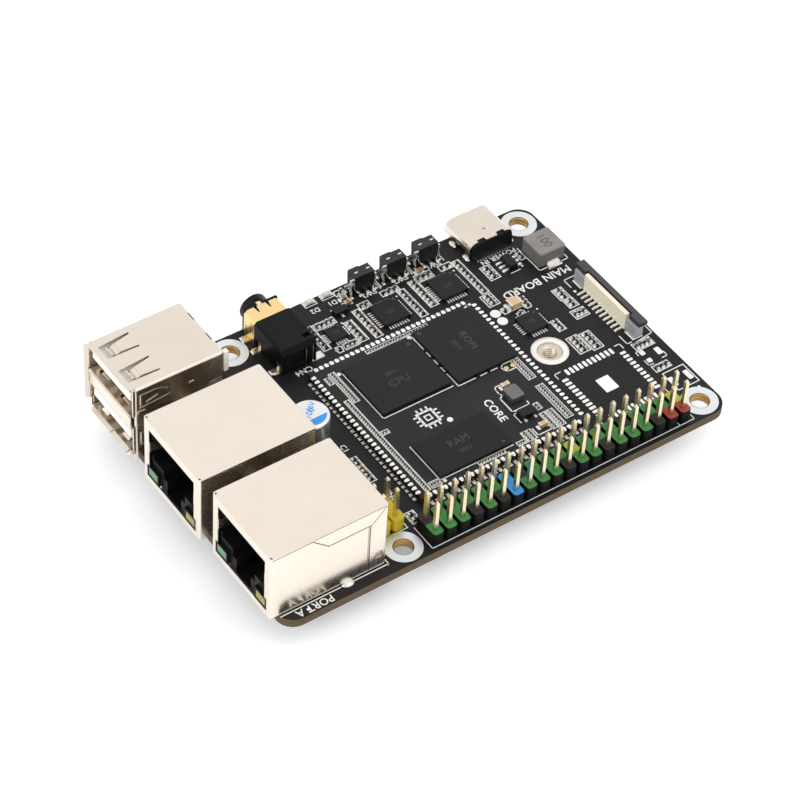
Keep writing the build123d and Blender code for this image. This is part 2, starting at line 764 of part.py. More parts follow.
def audio_sleeve():
    """Sheet sleeve round the front of the body, with open underside."""
    inner_width = audio_width - 0.56
    middle_z = board_top + audio_height / 2
    with BuildPart() as sleeve:
        with BuildSketch(wall_at(-27.1)):
            with Locations((audio_x, middle_z - 0.5)):
                RectangleRounded(audio_width, audio_height + 1.0, 0.8)
            with Locations((audio_x, board_top - 1.0)):
                Rectangle(audio_width + 1, 2.0, mode=Mode.SUBTRACT)
            with Locations((audio_x, middle_z - 0.12)):
                Rectangle(inner_width, audio_height - 0.32, mode=Mode.SUBTRACT)
            with Locations((audio_x, board_top)):
                Rectangle(inner_width, 1.0, mode=Mode.SUBTRACT)
        extrude(amount=-3.05)
        # tapered notches in the front edge of the top
        for offset in (-1.05, 1.2):
            notch_x = audio_x + offset
            prism(level(audio_top - 0.6),
                  [(notch_x - 0.3, -27.2), (notch_x - 0.1, -25.75),
                   (notch_x + 0.1, -25.75), (notch_x + 0.3, -27.2)],
                  0.8, mode=Mode.SUBTRACT)
        # upright slot in the +X side
        cut(audio_right - 0.5, audio_right + 0.1, -26.55, -26.3,
            board_top + 0.3, board_top + 2.6)
        # solder foot on each side
        for edge, side in ((audio_right, 1), (audio_left, -1)):
            block(edge, edge + side * 0.75, -26.4, -25.3, board_top, board_top + 0.2)
    return sleeve.part


def audio_contacts():
    with BuildPart() as contacts:
        inner = audio_right - 0.45
        for y in audio_contact_y:
            block(inner, audio_right - 0.2, y - 0.45, y + 0.45, board_top, board_top + 1.7)
            block(inner, audio_right + 0.9, y - 0.45, y + 0.45, board_top, board_top + 0.2)
        block(16.5, audio_left, -17.1, -15.9, board_top, board_top + 0.2)
        # upright wires at the rear face
        block(18.5, 18.7, -16.15, -15.95, board_top, board_top + 4.0)
        block(19.75, 19.95, -16.2, -16.0, board_top, board_top + 3.5)
        # ground spring in the nose slot
        block(audio_x - 0.3, audio_x + 0.5, -28.1, -26.9, audio_top - 0.42, audio_top - 0.22)
    return contacts.part


# ---------------------------------------------------------------------------
# flat cable socket with lift-up latch, near the -X edge
# ---------------------------------------------------------------------------
cable_y = -0.35
cable_half = 11.1 / 2          # half length of the housing
latch_half = 17.1 / 2          # half length of the latch
cable_back = -31.3             # -X face of the housing
cable_face = -28.6             # +X face of the housing
latch_bottom = board_top + 2.72
latch_top = board_top + 3.55


def cable_socket_housing():
    with BuildPart() as housing:
        block(cable_back, cable_face, cable_y - cable_half, cable_y + cable_half,
              board_top + 0.05, board_top + 2.65)
        block(-29.3, cable_face, cable_y - cable_half, cable_y + cable_half,
              board_top + 2.6, board_top + 3.45)
        # cable slot, with room for the latch tongue
        cut(-30.0, -29.3, cable_y - cable_half + 0.35, cable_y + cable_half - 0.35,
            board_top + 0.6, board_top + 2.7)
        # soften the long upper edge on the +X side
        top_edges = housing.edges().filter_by(Axis.Y).group_by(Axis.Z)[-1]
        fillet(top_edges.sort_by(Axis.X)[-1], 0.2)
    return housing.part


def cable_socket_latch():
    with BuildPart() as latch:
        block(-30.75, -29.62, cable_y - latch_half, cable_y + latch_half,
              latch_bottom, latch_top)
        for side in BOTH_SIDES:
            block(-30.75, -29.0, cable_y + side * (latch_half - 2.6),
                  cable_y + side * latch_half, latch_bottom, latch_top)
        # tongue that clamps the cable
        block(-29.98, -29.64, cable_y - cable_half + 0.5, cable_y + cable_half - 0.5,
              board_top + 0.9, board_top + 2.75)
        top_edges = latch.edges().filter_by(Axis.Y).group_by(Axis.Z)[-1]
        chamfer(top_edges.sort_by(Axis.X)[0], 0.15)
    return latch.part


def cable_socket_tabs():
    with BuildPart() as tabs:
        for side in BOTH_SIDES:
            block(-30.3, cable_face, cable_y + side * (cable_half + 0.05),
                  cable_y + side * 8.2, board_top, board_top + 2.62)
    return tabs.part


# x limits, y limits from the contact centre, height limits above the board
cable_contact_blocks = [
    (cable_face, -27.35, -0.15, 0.15, 0, 0.22),
    (cable_face, -28.42, -0.15, 0.15, 0.2, 0.6),
    (-32.2, cable_back, -0.65, -0.35, 0, 0.22),
    (-29.38, -29.3, -0.15, 0.15, 0.8, 2.2),
]


def cable_socket_contacts():
    with BuildPart() as contacts:
        for i in range(11):
            y = 4.6 - i
            for x0, x1, y0, y1, z0, z1 in cable_contact_blocks:
                block(x0, x1, y + y0, y + y1, board_top + z0, board_top + z1)
    return contacts.part


# ---------------------------------------------------------------------------
# three side-push switches, buttons towards -Y
# ---------------------------------------------------------------------------
plunger_x = {"boot_plunger": -10.15, "reset_plunger": -3.7, "modem_reset_plunger": 2.7}
switch_half = 4.3 / 2
switch_height = 3.8
switch_top = board_top + switch_height
switch_rear_y = -24.9
switch_depth = 2.15

# wing of the metal frame as (y, height above the board)
switch_wing = [
    (-25.14, 3.3), (-24.62, 3.3), (-24.62, 2.6), (-24.72, 1.8), (-24.5, 1.0), (-24.4, 0),
    (-24.85, 0), (-25.05, 0.9), (-25.5, 1.35), (-25.95, 1.1), (-26.15, 0), (-26.65, 0),
    (-26.75, 1.0), (-26.1, 2.0), (-25.45, 2.8),
]
# centre lines of the rear legs: x from that side of the body, height above the board
switch_leg_right = [(-0.2, 2.6), (-0.2, 1.9), (-0.45, 1.2), (-0.9, 0.6), (-1.35, 0.2)]
switch_leg_left = [(-0.08, 2.6), (-0.02, 1.7), (0.1, 0.9), (0.35, 0.2)]


def clip_points(centre):
    """Places of the two frame clips in the top of a switch."""
    return [(centre - 1.5, -26.0), (centre + 0.8, -26.0)]


def switch_housings():
    with BuildPart() as housings:
        for centre in plunger_x.values():
            left, right = centre - switch_half, centre + switch_half
            prism(wall_at(switch_rear_y),
                  lift([(left, switch_height), (right + 0.25, switch_height),
                        (right + 0.25, 1.7), (right, 0.9), (right - 0.6, 0.05),
                        (left + 0.5, 0.05), (left, 0.7)]),
                  switch_depth)
            # bevelled front corner and stepped rear corner, both on the +X side
            prism(level(board_top),
                  [(right - 0.45, -27.15), (right + 0.35, -27.15), (right + 0.35, -26.0)],
                  switch_height + 0.1, mode=Mode.SUBTRACT)
            cut(right - 0.35, right + 0.35, -25.16, -24.8, board_top, switch_top + 0.1)
            # plunger bore
            cut(centre - 1.15, centre + 1.15, -27.2, -25.9, board_top + 1.2, board_top + 2.75)
            # slots for the clips of the metal frame
            stamp(level(switch_top - 0.3), clip_points(centre), 0.4,
                  SlotOverall, 0.8, 0.36, mode=Mode.SUBTRACT)
    return housings.part


def switch_frames():
    with BuildPart() as frames:
        for centre in plunger_x.values():
            left, right = centre - switch_half, centre + switch_half
            # wing on each side of the body
            for x0, x1 in ((right + 0.27, right + 0.42), (left - 0.19, left - 0.02)):
                prism(Plane.YZ.offset(x0), lift(switch_wing), x1 - x0)
            # necks at the rear corners
            block(right - 0.33, right + 0.42, -25.14, -24.78, board_top + 2.5, board_top + 3.68)
            block(left - 0.19, left + 0.1, -24.88, -24.7, board_top + 2.5, board_top + 3.3)
            # bent rear legs
            for edge, line in ((right, switch_leg_right), (left, switch_leg_left)):
                seam(wall_at(-24.7), lift([(edge + x, z) for x, z in line]), 0.2, 0.18,
                     mode=Mode.ADD)
            # clips in the top slots
            stamp(level(switch_top - 0.3), clip_points(centre), 0.34, SlotOverall, 0.72, 0.28)
            # terminals
            for offset in (-1.8, -0.55, 0.85):
                block(centre + offset - 0.28, centre + offset + 0.28, -24.88, -24.35,
                      board_top, board_top + 0.28)
    return frames.part


def plunger(centre):
    """Push button with rounded upright front edges."""
    with BuildPart() as button:
        block(centre - 1.1, centre + 1.1, -28.2, -26.25, board_top + 1.25, board_top + 2.7)
        fillet(button.edges().filter_by(Axis.Z).group_by(Axis.Y)[0], 0.25)
    return button.part


# ---------------------------------------------------------------------------
# core module
# ---------------------------------------------------------------------------
def core_board():
    """Square board with half holes along its four edges."""
    with BuildPart() as board:
        with BuildSketch(level(board_top + joint_land)):
            with Locations((core_x, core_y)):
                Rectangle(core_size, core_size)
            with Locations(*core_hole_points):
                Circle(core_hole_radius, mode=Mode.SUBTRACT)
        extrude(amount=core_thickness - joint_land)
    return board.part


def core_solder_joints():
    with BuildPart() as joints:
        # lands on the main board, under and beyond each edge
        stamp(level(board_top), y_edge_points(0.25), joint_land, Rectangle, 0.6, 1.5)
        stamp(level(board_top), x_edge_points(0.1), joint_land, Rectangle, 1.2, 0.6)
        # solder column in each half hole
        stamp(level(board_top + joint_land), core_hole_points, core_thickness - joint_land,
              Circle, core_hole_radius)
        # plated lands on the upper face, just inside each edge
        stamp(level(core_top), y_edge_points(-0.3), pad_thickness,
              RectangleRounded, 0.68, 0.54, 0.2)
        stamp(level(core_top), x_edge_points(-0.3), pad_thickness,
              RectangleRounded, 0.54, 0.64, 0.2)
    return joints.part


# body x and y limits, limits of the smaller foot under it, foot height, overall height
core_packages = {
    "core_processor": ((3.6, 16.83, -10.3, 1.3), (4.2, 16.3, -9.7, 0.8), 0.2, 0.68),
    "core_memory": ((3.1, 16.83, 9.1, 16.98), (3.6, 16.3, 9.6, 16.5), 0.16, 0.6),
    "core_storage": ((-8.9, 2.55, -11.3, 1.9), (-8.4, 2.1, -10.8, 1.4), 0.18, 0.68),
}


def core_package(body, foot, foot_height, height):
    with BuildPart() as package:
        block(*body, core_top + foot_height, core_top + height)
        block(*foot, core_top, core_top + foot_height)
    return package.part


def core_inductor():
    with BuildPart() as inductor:
        stamp(level(core_top), [(-3.45, 8.5)], 1.0, RectangleRounded, 2.5, 2.9, 0.45)
    return inductor.part


# ---------------------------------------------------------------------------
# chip parts
# ---------------------------------------------------------------------------
# frames filled with chip parts on the main board: x0, x1, y0, y1
board_groups = [
    (-30.3, -27.0, 14.3, 15.9), (-31.1, -27.3, 8.5, 10.4), (-23.6, -21.4, 2.1, 6.5),
    (-21.3, -19.0, 1.8, 6.0), (-20.8, -19.2, -2.8, 0.0), (-26.2, -23.4, -2.9, -0.7),
    (-26.0, -24.0, -5.5, -3.4), (-25.9, -23.8, -8.5, -5.6), (-19.0, -18.0, -10.1, -7.2),
    (-17.3, -15.7, -7.3, -6.3), (-15.0, -14.0, -9.5, -8.0), (-15.1, -12.8, -13.6, -10.6),
    (-15.2, -13.6, -22.9, -13.8), (-13.6, -11.0, -23.3, -21.8), (-9.6, -6.3, -23.5, -21.6),
    (-6.4, -4.6, -22.8, -15.8), (-3.5, -1.9, -22.0, -14.7), (-2.9, 0.7, -23.3, -22.0),
    (3.2, 5.5, -22.9, -21.3), (5.5, 7.1, -22.0, -14.7), (8.0, 9.8, -20.5, -15.2),
    (9.9, 12.7, -16.5, -15.0), (13.0, 14.1, -16.5, -15.0), (14.4, 16.0, -22.8, -16.6),
    (10.3, 14.3, -22.7, -21.1), (5.2, 7.2, -27.4, -26.0), (24.5, 26.0, 5.0, 11.0),
    (23.4, 25.2, 19.0, 21.6), (-18.9, -16.8, -19.2, -15.6), (-25.0, -24.0, -19.0, -17.0),
]
# the same on the core module
core_groups = [
    (-9.15, -7.6, 8.7, 17.1), (-9.15, -7.6, 1.95, 7.1), (-7.1, -5.75, 13.9, 17.9),
    (-5.65, -4.45, 13.9, 17.9), (-5.9, -4.5, 11.6, 13.2), (-1.4, 0.6, 15.7, 18.0),
    (0.7, 2.4, 17.0, 18.0), (4.7, 10.0, 17.1, 18.0), (17.0, 19.0, 16.6, 18.0),
    (19.2, 20.3, -4.8, 18.0), (17.8, 19.1, -11.1, -3.6), (19.25, 20.2, -10.6, -8.8),
    (-1.1, 11.1, -12.3, -11.45), (17.7, 19.1, 3.7, 4.7),
]
board_chip_size = (1.0, 0.5)
core_chip_size = (0.6, 0.3)


def group_cells(groups, length, step, margin):
    """(x, y, lies along x) of the chip parts that fill each frame.

    Parts are stepped along the longer side of the frame and lie across it.
    """
    row_gap = 0.25
    cells = []
    for x0, x1, y0, y1 in groups:
        width = x1 - x0 - margin
        height = y1 - y0 - margin
        along_x = width <= height
        run, across = max(width, height), min(width, height)
        count = max(1, int(run / step + 0.35))
        rows = max(1, int((across + row_gap) / (length + row_gap)))
        centre_x, centre_y = (x0 + x1) / 2, (y0 + y1) / 2
        for row in range(rows):
            for i in range(count):
                on_run = (i - (count - 1) / 2) * (run / count)
                on_across = (row - (rows - 1) / 2) * (across / rows)
                if along_x:
                    cells.append((centre_x + on_across, centre_y + on_run, along_x))
                else:
                    cells.append((centre_x + on_run, centre_y + on_across, along_x))
    return cells


def split_cells(cells, every, first):
    """Capacitor cells and resistor cells; one in every so many is a resistor."""
    capacitors = [cell for i, cell in enumerate(cells) if i % every != first]
    return capacitors, cells[first::every]


def chip_array(cells, size, bottom, height):
    """Small rectangular chip parts."""
    length, width = size
    with BuildPart() as chips:
        with BuildSketch(level(bottom)):
            with Locations(*[(x, y) for x, y, along_x in cells if along_x]):
                Rectangle(length, width)
            with Locations(*[(x, y) for x, y, along_x in cells if not along_x]):
                Rectangle(width, length)
        extrude(amount=height)
    return chips.part


board_capacitor_cells, board_resistor_cells = split_cells(
    group_cells(board_groups, board_chip_size[0], step=0.92, margin=0.3), every=3, first=1)
core_capacitor_cells, core_resistor_cells = split_cells(
    group_cells(core_groups, core_chip_size[0], step=0.56, margin=0.2), every=4, first=2)

# cells, chip size, surface they stand on, height
chip_arrays = {
    "board_chip_capacitors": (board_capacitor_cells, board_chip_size, board_top, 0.5),
    "board_chip_resistors": (board_resistor_cells, board_chip_size, board_top, 0.35),
    "core_chip_capacitors": (core_capacitor_cells, core_chip_size, core_top, 0.3),
    "core_chip_resistors": (core_resistor_cells, core_chip_size, core_top, 0.23),
}

# larger capacitors on board and module: x0, x1, y0, y1, surface, height
ceramic_blocks = [
    (-17.7, -15.35, -9.9, -8.1, board_top, 1.2),
    (-4.3, -2.7, 15.9, 16.75, core_top, 0.8),
    (-4.25, -2.75, 5.75, 6.6, core_top, 0.8),
    (-8.5, -7.2, -24.25, -23.5, board_top, 0.7),
    (5.9, 7.1, -24.3, -23.5, board_top, 0.7),
    (5.9, 7.1, -25.55, -24.75, board_top, 0.7),
]


def ceramic_capacitors():
    with BuildPart() as capacitors:
        for x0, x1, y0, y1, bottom, height in ceramic_blocks:
            block(x0, x1, y0, y1, bottom, bottom + height)
    return capacitors.part


# ---------------------------------------------------------------------------
# packaged circuits
# ---------------------------------------------------------------------------
# square leadless packages: centre x, centre y, side, top, lands per side, land pitch
phy_packages = [(-9.6, -18.2, 5.0, 0.85, 8, 0.5), (2.0, -18.2, 5.0, 0.85, 8, 0.5)]
small_packages = [(12.2, -18.8, 3.0, 0.75, 5, 0.45), (-16.4, -3.9, 4.0, 0.8, 6, 0.5)]
# packages with leads: centre x, centre y, x length, y length, gap below, top, surface
six_lead_x, six_lead_y = -21.7, -17.4
three_lead_x, three_lead_y = 8.75, -22.7
five_lead_x, five_lead_y = -2.8, 12.95
leaded_packages = [
    (six_lead_x, six_lead_y, 1.6, 2.9, 0.1, 1.1, board_top),
    (three_lead_x, three_lead_y, 2.6, 1.3, 0.1, 1.0, board_top),
    (five_lead_x, five_lead_y, 2.9, 1.7, 0.1, 1.0, core_top),
]
lead_pitch = 0.95
lead_half = 0.2     # half width
lead_thickness = 0.2


def leadless_bodies(packages):
    for x, y, side, top, *_ in packages:
        block(x - side / 2, x + side / 2, y - side / 2, y + side / 2,
              board_top + 0.05, board_top + top)


def network_phy_chips():
    with BuildPart() as chips:
        leadless_bodies(phy_packages)
    return chips.part


def small_chips():
    with BuildPart() as chips:
        leadless_bodies(small_packages)
        for x, y, length, width, gap, top, surface in leaded_packages:
            block(x - length / 2, x + length / 2, y - width / 2, y + width / 2,
                  surface + gap, surface + top)
    return chips.part


def y_leads(centre_x, centre_y, leads, inner, outer, surface):
    """Leads on the -Y and +Y sides; each is (steps from the centre, side)."""
    for steps, side in leads:
        x = centre_x + steps * lead_pitch
        block(x - lead_half, x + lead_half, centre_y + side * inner, centre_y + side * outer,
              surface, surface + lead_thickness)


def chip_leads():
    with BuildPart() as leads:
        # lands round the leadless packages
        for x, y, body, _, count, pitch in phy_packages + small_packages:
            run = [(i - (count - 1) / 2) * pitch for i in range(count)]
            reach = body / 2 + 0.33
            stamp(level(board_top),
                  [(x + along, y + side * reach) for along in run for side in BOTH_SIDES],
                  0.1, Rectangle, 0.25, 0.64)
            stamp(level(board_top),
                  [(x + side * reach, y + along) for along in run for side in BOTH_SIDES],
                  0.1, Rectangle, 0.64, 0.25)
        # flat leads
        for steps in (-1, 0, 1):
            y = six_lead_y + steps * lead_pitch
            for side in BOTH_SIDES:
                block(six_lead_x + side * 0.8, six_lead_x + side * 1.85,
                      y - lead_half, y + lead_half, board_top, board_top + lead_thickness)
        y_leads(three_lead_x, three_lead_y, ((-1, -1), (1, -1), (0, 1)),
                inner=0.65, outer=1.15, surface=board_top)
        y_leads(five_lead_x, five_lead_y, ((-1, -1), (0, -1), (1, -1), (-1, 1), (1, 1)),
                inner=0.85, outer=1.4, surface=core_top)
    return leads.part


# ---------------------------------------------------------------------------
# power inductor
# ---------------------------------------------------------------------------
inductor_x = -28.1
inductor_y = -16.5
inductor_size = 5.3


def power_inductor():
    with BuildPart() as inductor:
        stamp(level(board_top + 0.1), [(inductor_x, inductor_y)], 2.9,
              RectangleRounded, inductor_size, inductor_size, 0.5)
        chamfer(inductor.edges().group_by(Axis.Z)[-1], 0.2)
    return inductor.part


def power_inductor_terminals():
    """Upright plate and flat foot on the -Y and +Y sides."""
    with BuildPart() as terminals:
        for side in BOTH_SIDES:
            for inner, outer, height in ((2.66, 2.95, 1.1), (1.6, 3.5, 0.09)):
                block(-29.5, -26.8, inductor_y + side * inner, inductor_y + side * outer,
                      board_top, board_top + height)
    return terminals.part


# ---------------------------------------------------------------------------
# can capacitor
# ---------------------------------------------------------------------------
can_x = 29.7
can_y = -0.4
can_radius = 3.15
can_height = 6.95
can_base_half = 3.3
can_base_height = 0.75
can_base_bevel = 1.0


def can_capacitor():
    with BuildPart() as can:
        with BuildSketch(level(board_top + can_base_height)):
            with Locations((can_x, can_y)):
                Circle(can_radius)
        extrude(amount=can_height)
        fillet(can.edges().group_by(Axis.Z)[-1], 0.45)
        # crimp groove near the base
        with BuildSketch(wall_at(can_y)):
            with Locations((can_x + 3.2, board_top + 2.2)):
                Circle(0.28)
        revolve(axis=Axis((can_x, can_y, 0), (0, 0, 1)), revolution_arc=360,
                mode=Mode.SUBTRACT)
    return can.part


def can_capacitor_base():
    """Square base with its two +X corners bevelled and a lead channel on each side."""
    half = can_base_half
    inner = half - can_base_bevel
    outline = [(-half, -half), (inner, -half), (half, -inner), (half, inner), (inner, half),
               (-half, half)]
    with BuildPart() as base:
        prism(level(board_top), [(can_x + x, can_y + y) for x, y in outline], can_base_height)
        for side in BOTH_SIDES:
            cut(can_x + side * 1.0, can_x + side * 3.4, can_y - 0.4, can_y + 0.4,
                board_top - 0.1, board_top + 0.22)
    return base.part


def can_capacitor_leads():
    with BuildPart() as leads:
        for side in BOTH_SIDES:
            block(can_x + side * 1.1, can_x + side * 3.75, can_y - 0.35, can_y + 0.35,
                  board_top, board_top + 0.2)
    return leads.part


def status_lamps():
    """Two stepped lamps near the -Y board edge."""
    with BuildPart() as lamps:
        for x in (8.45, 11.8):
            for half_width, bottom, top in ((0.8, 0, 0.3), (0.5, 0.3, 0.55)):
                block(x - half_width, x + half_width, -27.75, -26.95,
                      board_top + bottom, board_top + top)
    return lamps.part


# ---------------------------------------------------------------------------
# underside: edge-card socket in line with the standoff
# ---------------------------------------------------------------------------
card_contact_y = [standoff_y - 9.25 + 0.5 * i for i in range(38) if not 11 <= i <= 14]


def card_socket_housing():
    with BuildPart() as housing:
        block(27.2, 32.9, standoff_y - 10.95, standoff_y + 10.95, -4.2, -0.1)
        # card slot and its wider mouth, open towards -X
        cut(27.0, 30.6, standoff_y - 9.9, standoff_y + 9.9, -3.1, -1.95)
        cut(27.0, 28.2, standoff_y - 9.9, standoff_y + 9.9, -3.3, -1.75)
    return housing.part


def card_socket_contacts():
    """Solder tails behind the socket and contacts in the slot."""
    with BuildPart() as contacts:
        stamp(level(-0.2), [(33.45, y) for y in card_contact_y], 0.2, Rectangle, 1.1, 0.24)
        stamp(level(-1.95), [(29.4, y) for y in card_contact_y], -0.12, Rectangle, 2.2, 0.24)
    return contacts.part


# ---------------------------------------------------------------------------
# underside: subscriber card socket
# ---------------------------------------------------------------------------
socket_seat = -0.05    # top of the small card sockets, just below the board


def sim_socket_shell():
    with BuildPart() as shell:
        block(-8.0, 6.0, -20.0, -6.2, -1.5, socket_seat)
        cut(-8.2, 5.6, -19.6, -6.6, -1.25, socket_seat)
        for y in (-16.5, -9.7):
            cut(-5.0, 0.5, y - 0.9, y + 0.9, -1.6, -1.2)
    return shell.part


def sim_socket_base():
    with BuildPart() as base:
        block(-7.9, 5.5, -19.5, -6.7, -0.5, socket_seat)
        cut(-6.5, 4.2, -18.2, -8.0, -0.6, -0.3)
        block(4.2, 5.5, -19.5, -6.7, -1.2, -0.5)
    return base.part


def sim_socket_contacts():
    with BuildPart() as contacts:
        for i in range(3):
            y = -15.6 + 2.54 * i
            for x in (-4.5, 1.5):
                block(x - 1.2, x + 1.2, y - 0.4, y + 0.4, -0.62, -0.48)
                block(x - 0.3, x + 0.3, y - 0.4, y + 0.4, -0.52, -0.3)
    return contacts.part


# ---------------------------------------------------------------------------
# underside: memory card socket at the -X board edge
# ---------------------------------------------------------------------------
def memory_card_shell():
    with BuildPart() as shell:
        block(-32.4, -18.0, 9.2, 22.0, -1.6, socket_seat)
        cut(-32.5, -18.3, 9.5, 21.7, -1.4, socket_seat)
        for y_from, y_to in ((10.4, 12.0), (19.2, 20.8)):
            cut(-29.0, -24.0, y_from, y_to, -1.7, -1.3)
    return shell.part


def memory_card_base():
    with BuildPart() as base:
        block(-31.8, -18.35, 9.55, 21.65, -0.4, socket_seat)
        block(-20.6, -18.35, 9.55, 21.65, -1.35, -0.4)
    return base.part


def memory_card_contacts():
    with BuildPart() as contacts:
        for i in range(8):
            y = 11.75 + 1.1 * i
            block(-24.6, -20.7, y - 0.22, y + 0.22, -0.52, -0.4)
    return contacts.part


# ---------------------------------------------------------------------------
# build and save every piece
# ---------------------------------------------------------------------------
# each of these functions bears the name of its piece
for build in (
    main_board, mounting_pads, card_standoff,
    network_shields, network_inserts, network_contacts,
    usb_shell, usb_insulator, usb_contacts,
    usbc_shell, usbc_insert, usbc_contacts,
    audio_body, audio_sleeve, audio_contacts,
    cable_socket_housing, cable_socket_latch, cable_socket_tabs, cable_socket_contacts,
    switch_housings, switch_frames,
    core_board, core_solder_joints, core_inductor,
    ceramic_capacitors, network_phy_chips, small_chips, chip_leads,
    power_inductor, power_inductor_terminals,
    can_capacitor, can_capacitor_base, can_capacitor_leads, status_lamps,
    card_socket_housing, card_socket_contacts,
    sim_socket_shell, sim_socket_base, sim_socket_contacts,
    memory_card_shell, memory_card_base, memory_card_contacts,
):
    save(build(), build.__name__)

save(pin_housing(header_x, header_points, 0, header_centre_y, cell_width), "header_housing")
save(pin_array(header_points), "header_pins")
save(pin_housing(power_header_columns_x, power_points, power_header_x, power_header_y,
                 power_cell_width), "power_header_housing")
save(pin_array(power_points), "power_header_pins")
save(lamp_windows(-1), "network_green_lamps")
save(lamp_windows(1), "network_yellow_lamps")
for name, centre in plunger_x.items():
    save(plunger(centre), name)
for name, package in core_packages.items():
    save(core_package(*package), name)
for name, chips in chip_arrays.items():
    save(chip_array(*chips), name)
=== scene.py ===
"""A small computer board: a main board carrying a core module, with sockets round its edges.

The board lies flat in XY with its underside at z = 0 and its components on the +Z side.
The 40-pin header runs along the +Y edge, the network and USB sockets face +X, and the
switches and lamps sit along the -Y edge. Shapes are in millimetres; materials, floor,
lights and camera are in metres.
"""
import math
import random
from functools import cached_property

import bpy
import numpy as np
from mathutils import Matrix, Vector


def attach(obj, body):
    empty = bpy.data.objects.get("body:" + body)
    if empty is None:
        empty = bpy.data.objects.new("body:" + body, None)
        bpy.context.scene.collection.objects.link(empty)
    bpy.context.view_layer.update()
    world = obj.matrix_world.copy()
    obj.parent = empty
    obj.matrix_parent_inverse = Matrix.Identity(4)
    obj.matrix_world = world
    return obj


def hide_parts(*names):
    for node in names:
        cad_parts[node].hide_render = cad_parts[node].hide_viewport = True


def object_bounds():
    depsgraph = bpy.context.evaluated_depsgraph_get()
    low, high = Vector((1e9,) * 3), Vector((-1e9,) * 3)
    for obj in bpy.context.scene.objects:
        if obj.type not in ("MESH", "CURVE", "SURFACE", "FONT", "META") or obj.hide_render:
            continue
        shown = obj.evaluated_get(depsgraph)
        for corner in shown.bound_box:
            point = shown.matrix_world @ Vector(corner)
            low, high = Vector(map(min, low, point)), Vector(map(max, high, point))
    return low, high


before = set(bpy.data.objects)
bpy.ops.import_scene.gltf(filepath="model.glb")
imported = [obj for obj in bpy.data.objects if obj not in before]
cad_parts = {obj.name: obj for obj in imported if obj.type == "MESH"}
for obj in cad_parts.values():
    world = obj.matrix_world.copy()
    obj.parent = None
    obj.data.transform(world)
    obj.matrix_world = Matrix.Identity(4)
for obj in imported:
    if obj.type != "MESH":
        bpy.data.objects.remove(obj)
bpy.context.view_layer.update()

rng = random.Random(7)

# ---------------------------------------------------------------------------
# driving sizes and places, mm
# ---------------------------------------------------------------------------
MM = 0.001
BOARD_TOP = 1.6
CORE_TOP = 2.8
PITCH = 2.54                 # pin pitch of the headers
HEADER_COLUMNS = 20
HOLE_X, HOLE_Y = 29, 24.5    # mounting holes, mirrored about both axes
HEADER_Y = 24.5
POWER_HEADER = 28.875, 18.875
STANDOFF_X, STANDOFF_Y = -15.3, 2.65
JACKS = ((54.3, 17.8), (54.8, -0.95))   # network sockets: x of the open face, y of the middle
JACK_WIDTH, JACK_LENGTH, JACK_HEIGHT = 16.0, 21.25, 13.5
USB_REAR_X, USB_Y, USB_WIDTH = 37.8, -18.95, 12.95
USBC_X = -21.0
USBC_LEG_Y = (-26.3, -22.4)
CABLE_SOCKET_Y = -0.35
SWITCH_X = (-10.15, -3.7, 2.7)
STATUS_LAMP_X = (8.45, 11.8)
CAN_X, CAN_Y, CAN_TOP = 29.7, -0.4, BOARD_TOP + 7.7
INDUCTOR_X, INDUCTOR_Y, INDUCTOR_TOP = -28.1, -16.5, BOARD_TOP + 3.0
SIX_LEAD_X, SIX_LEAD_Y = -21.7, -17.4

# bottom and top of the thin layers lying on the boards
BOARD_PRINT = BOARD_TOP - 0.005, BOARD_TOP + 0.022
CORE_PRINT = CORE_TOP - 0.005, CORE_TOP + 0.022
BOARD_LAND = BOARD_TOP - 0.005, BOARD_TOP + 0.035
CORE_LAND = CORE_TOP - 0.005, CORE_TOP + 0.03

# ---------------------------------------------------------------------------
# shader node helpers
# ---------------------------------------------------------------------------
MAT = {}    # every board material by name


def put(tree, socket, value):
    """Link an output socket to an input, or set the input's value."""
    if isinstance(value, bpy.types.NodeSocket):
        tree.links.new(value, socket)
    else:
        socket.default_value = value


def add_node(tree, kind, inputs=(), **properties):
    node = tree.nodes.new(kind)
    for key, value in properties.items():
        setattr(node, key, value)
    for key, value in dict(inputs).items():
        put(tree, node.inputs[key], value)
    return node


def rgba(colour, gain=1.0):
    return (colour[0] * gain, colour[1] * gain, colour[2] * gain, 1.0)


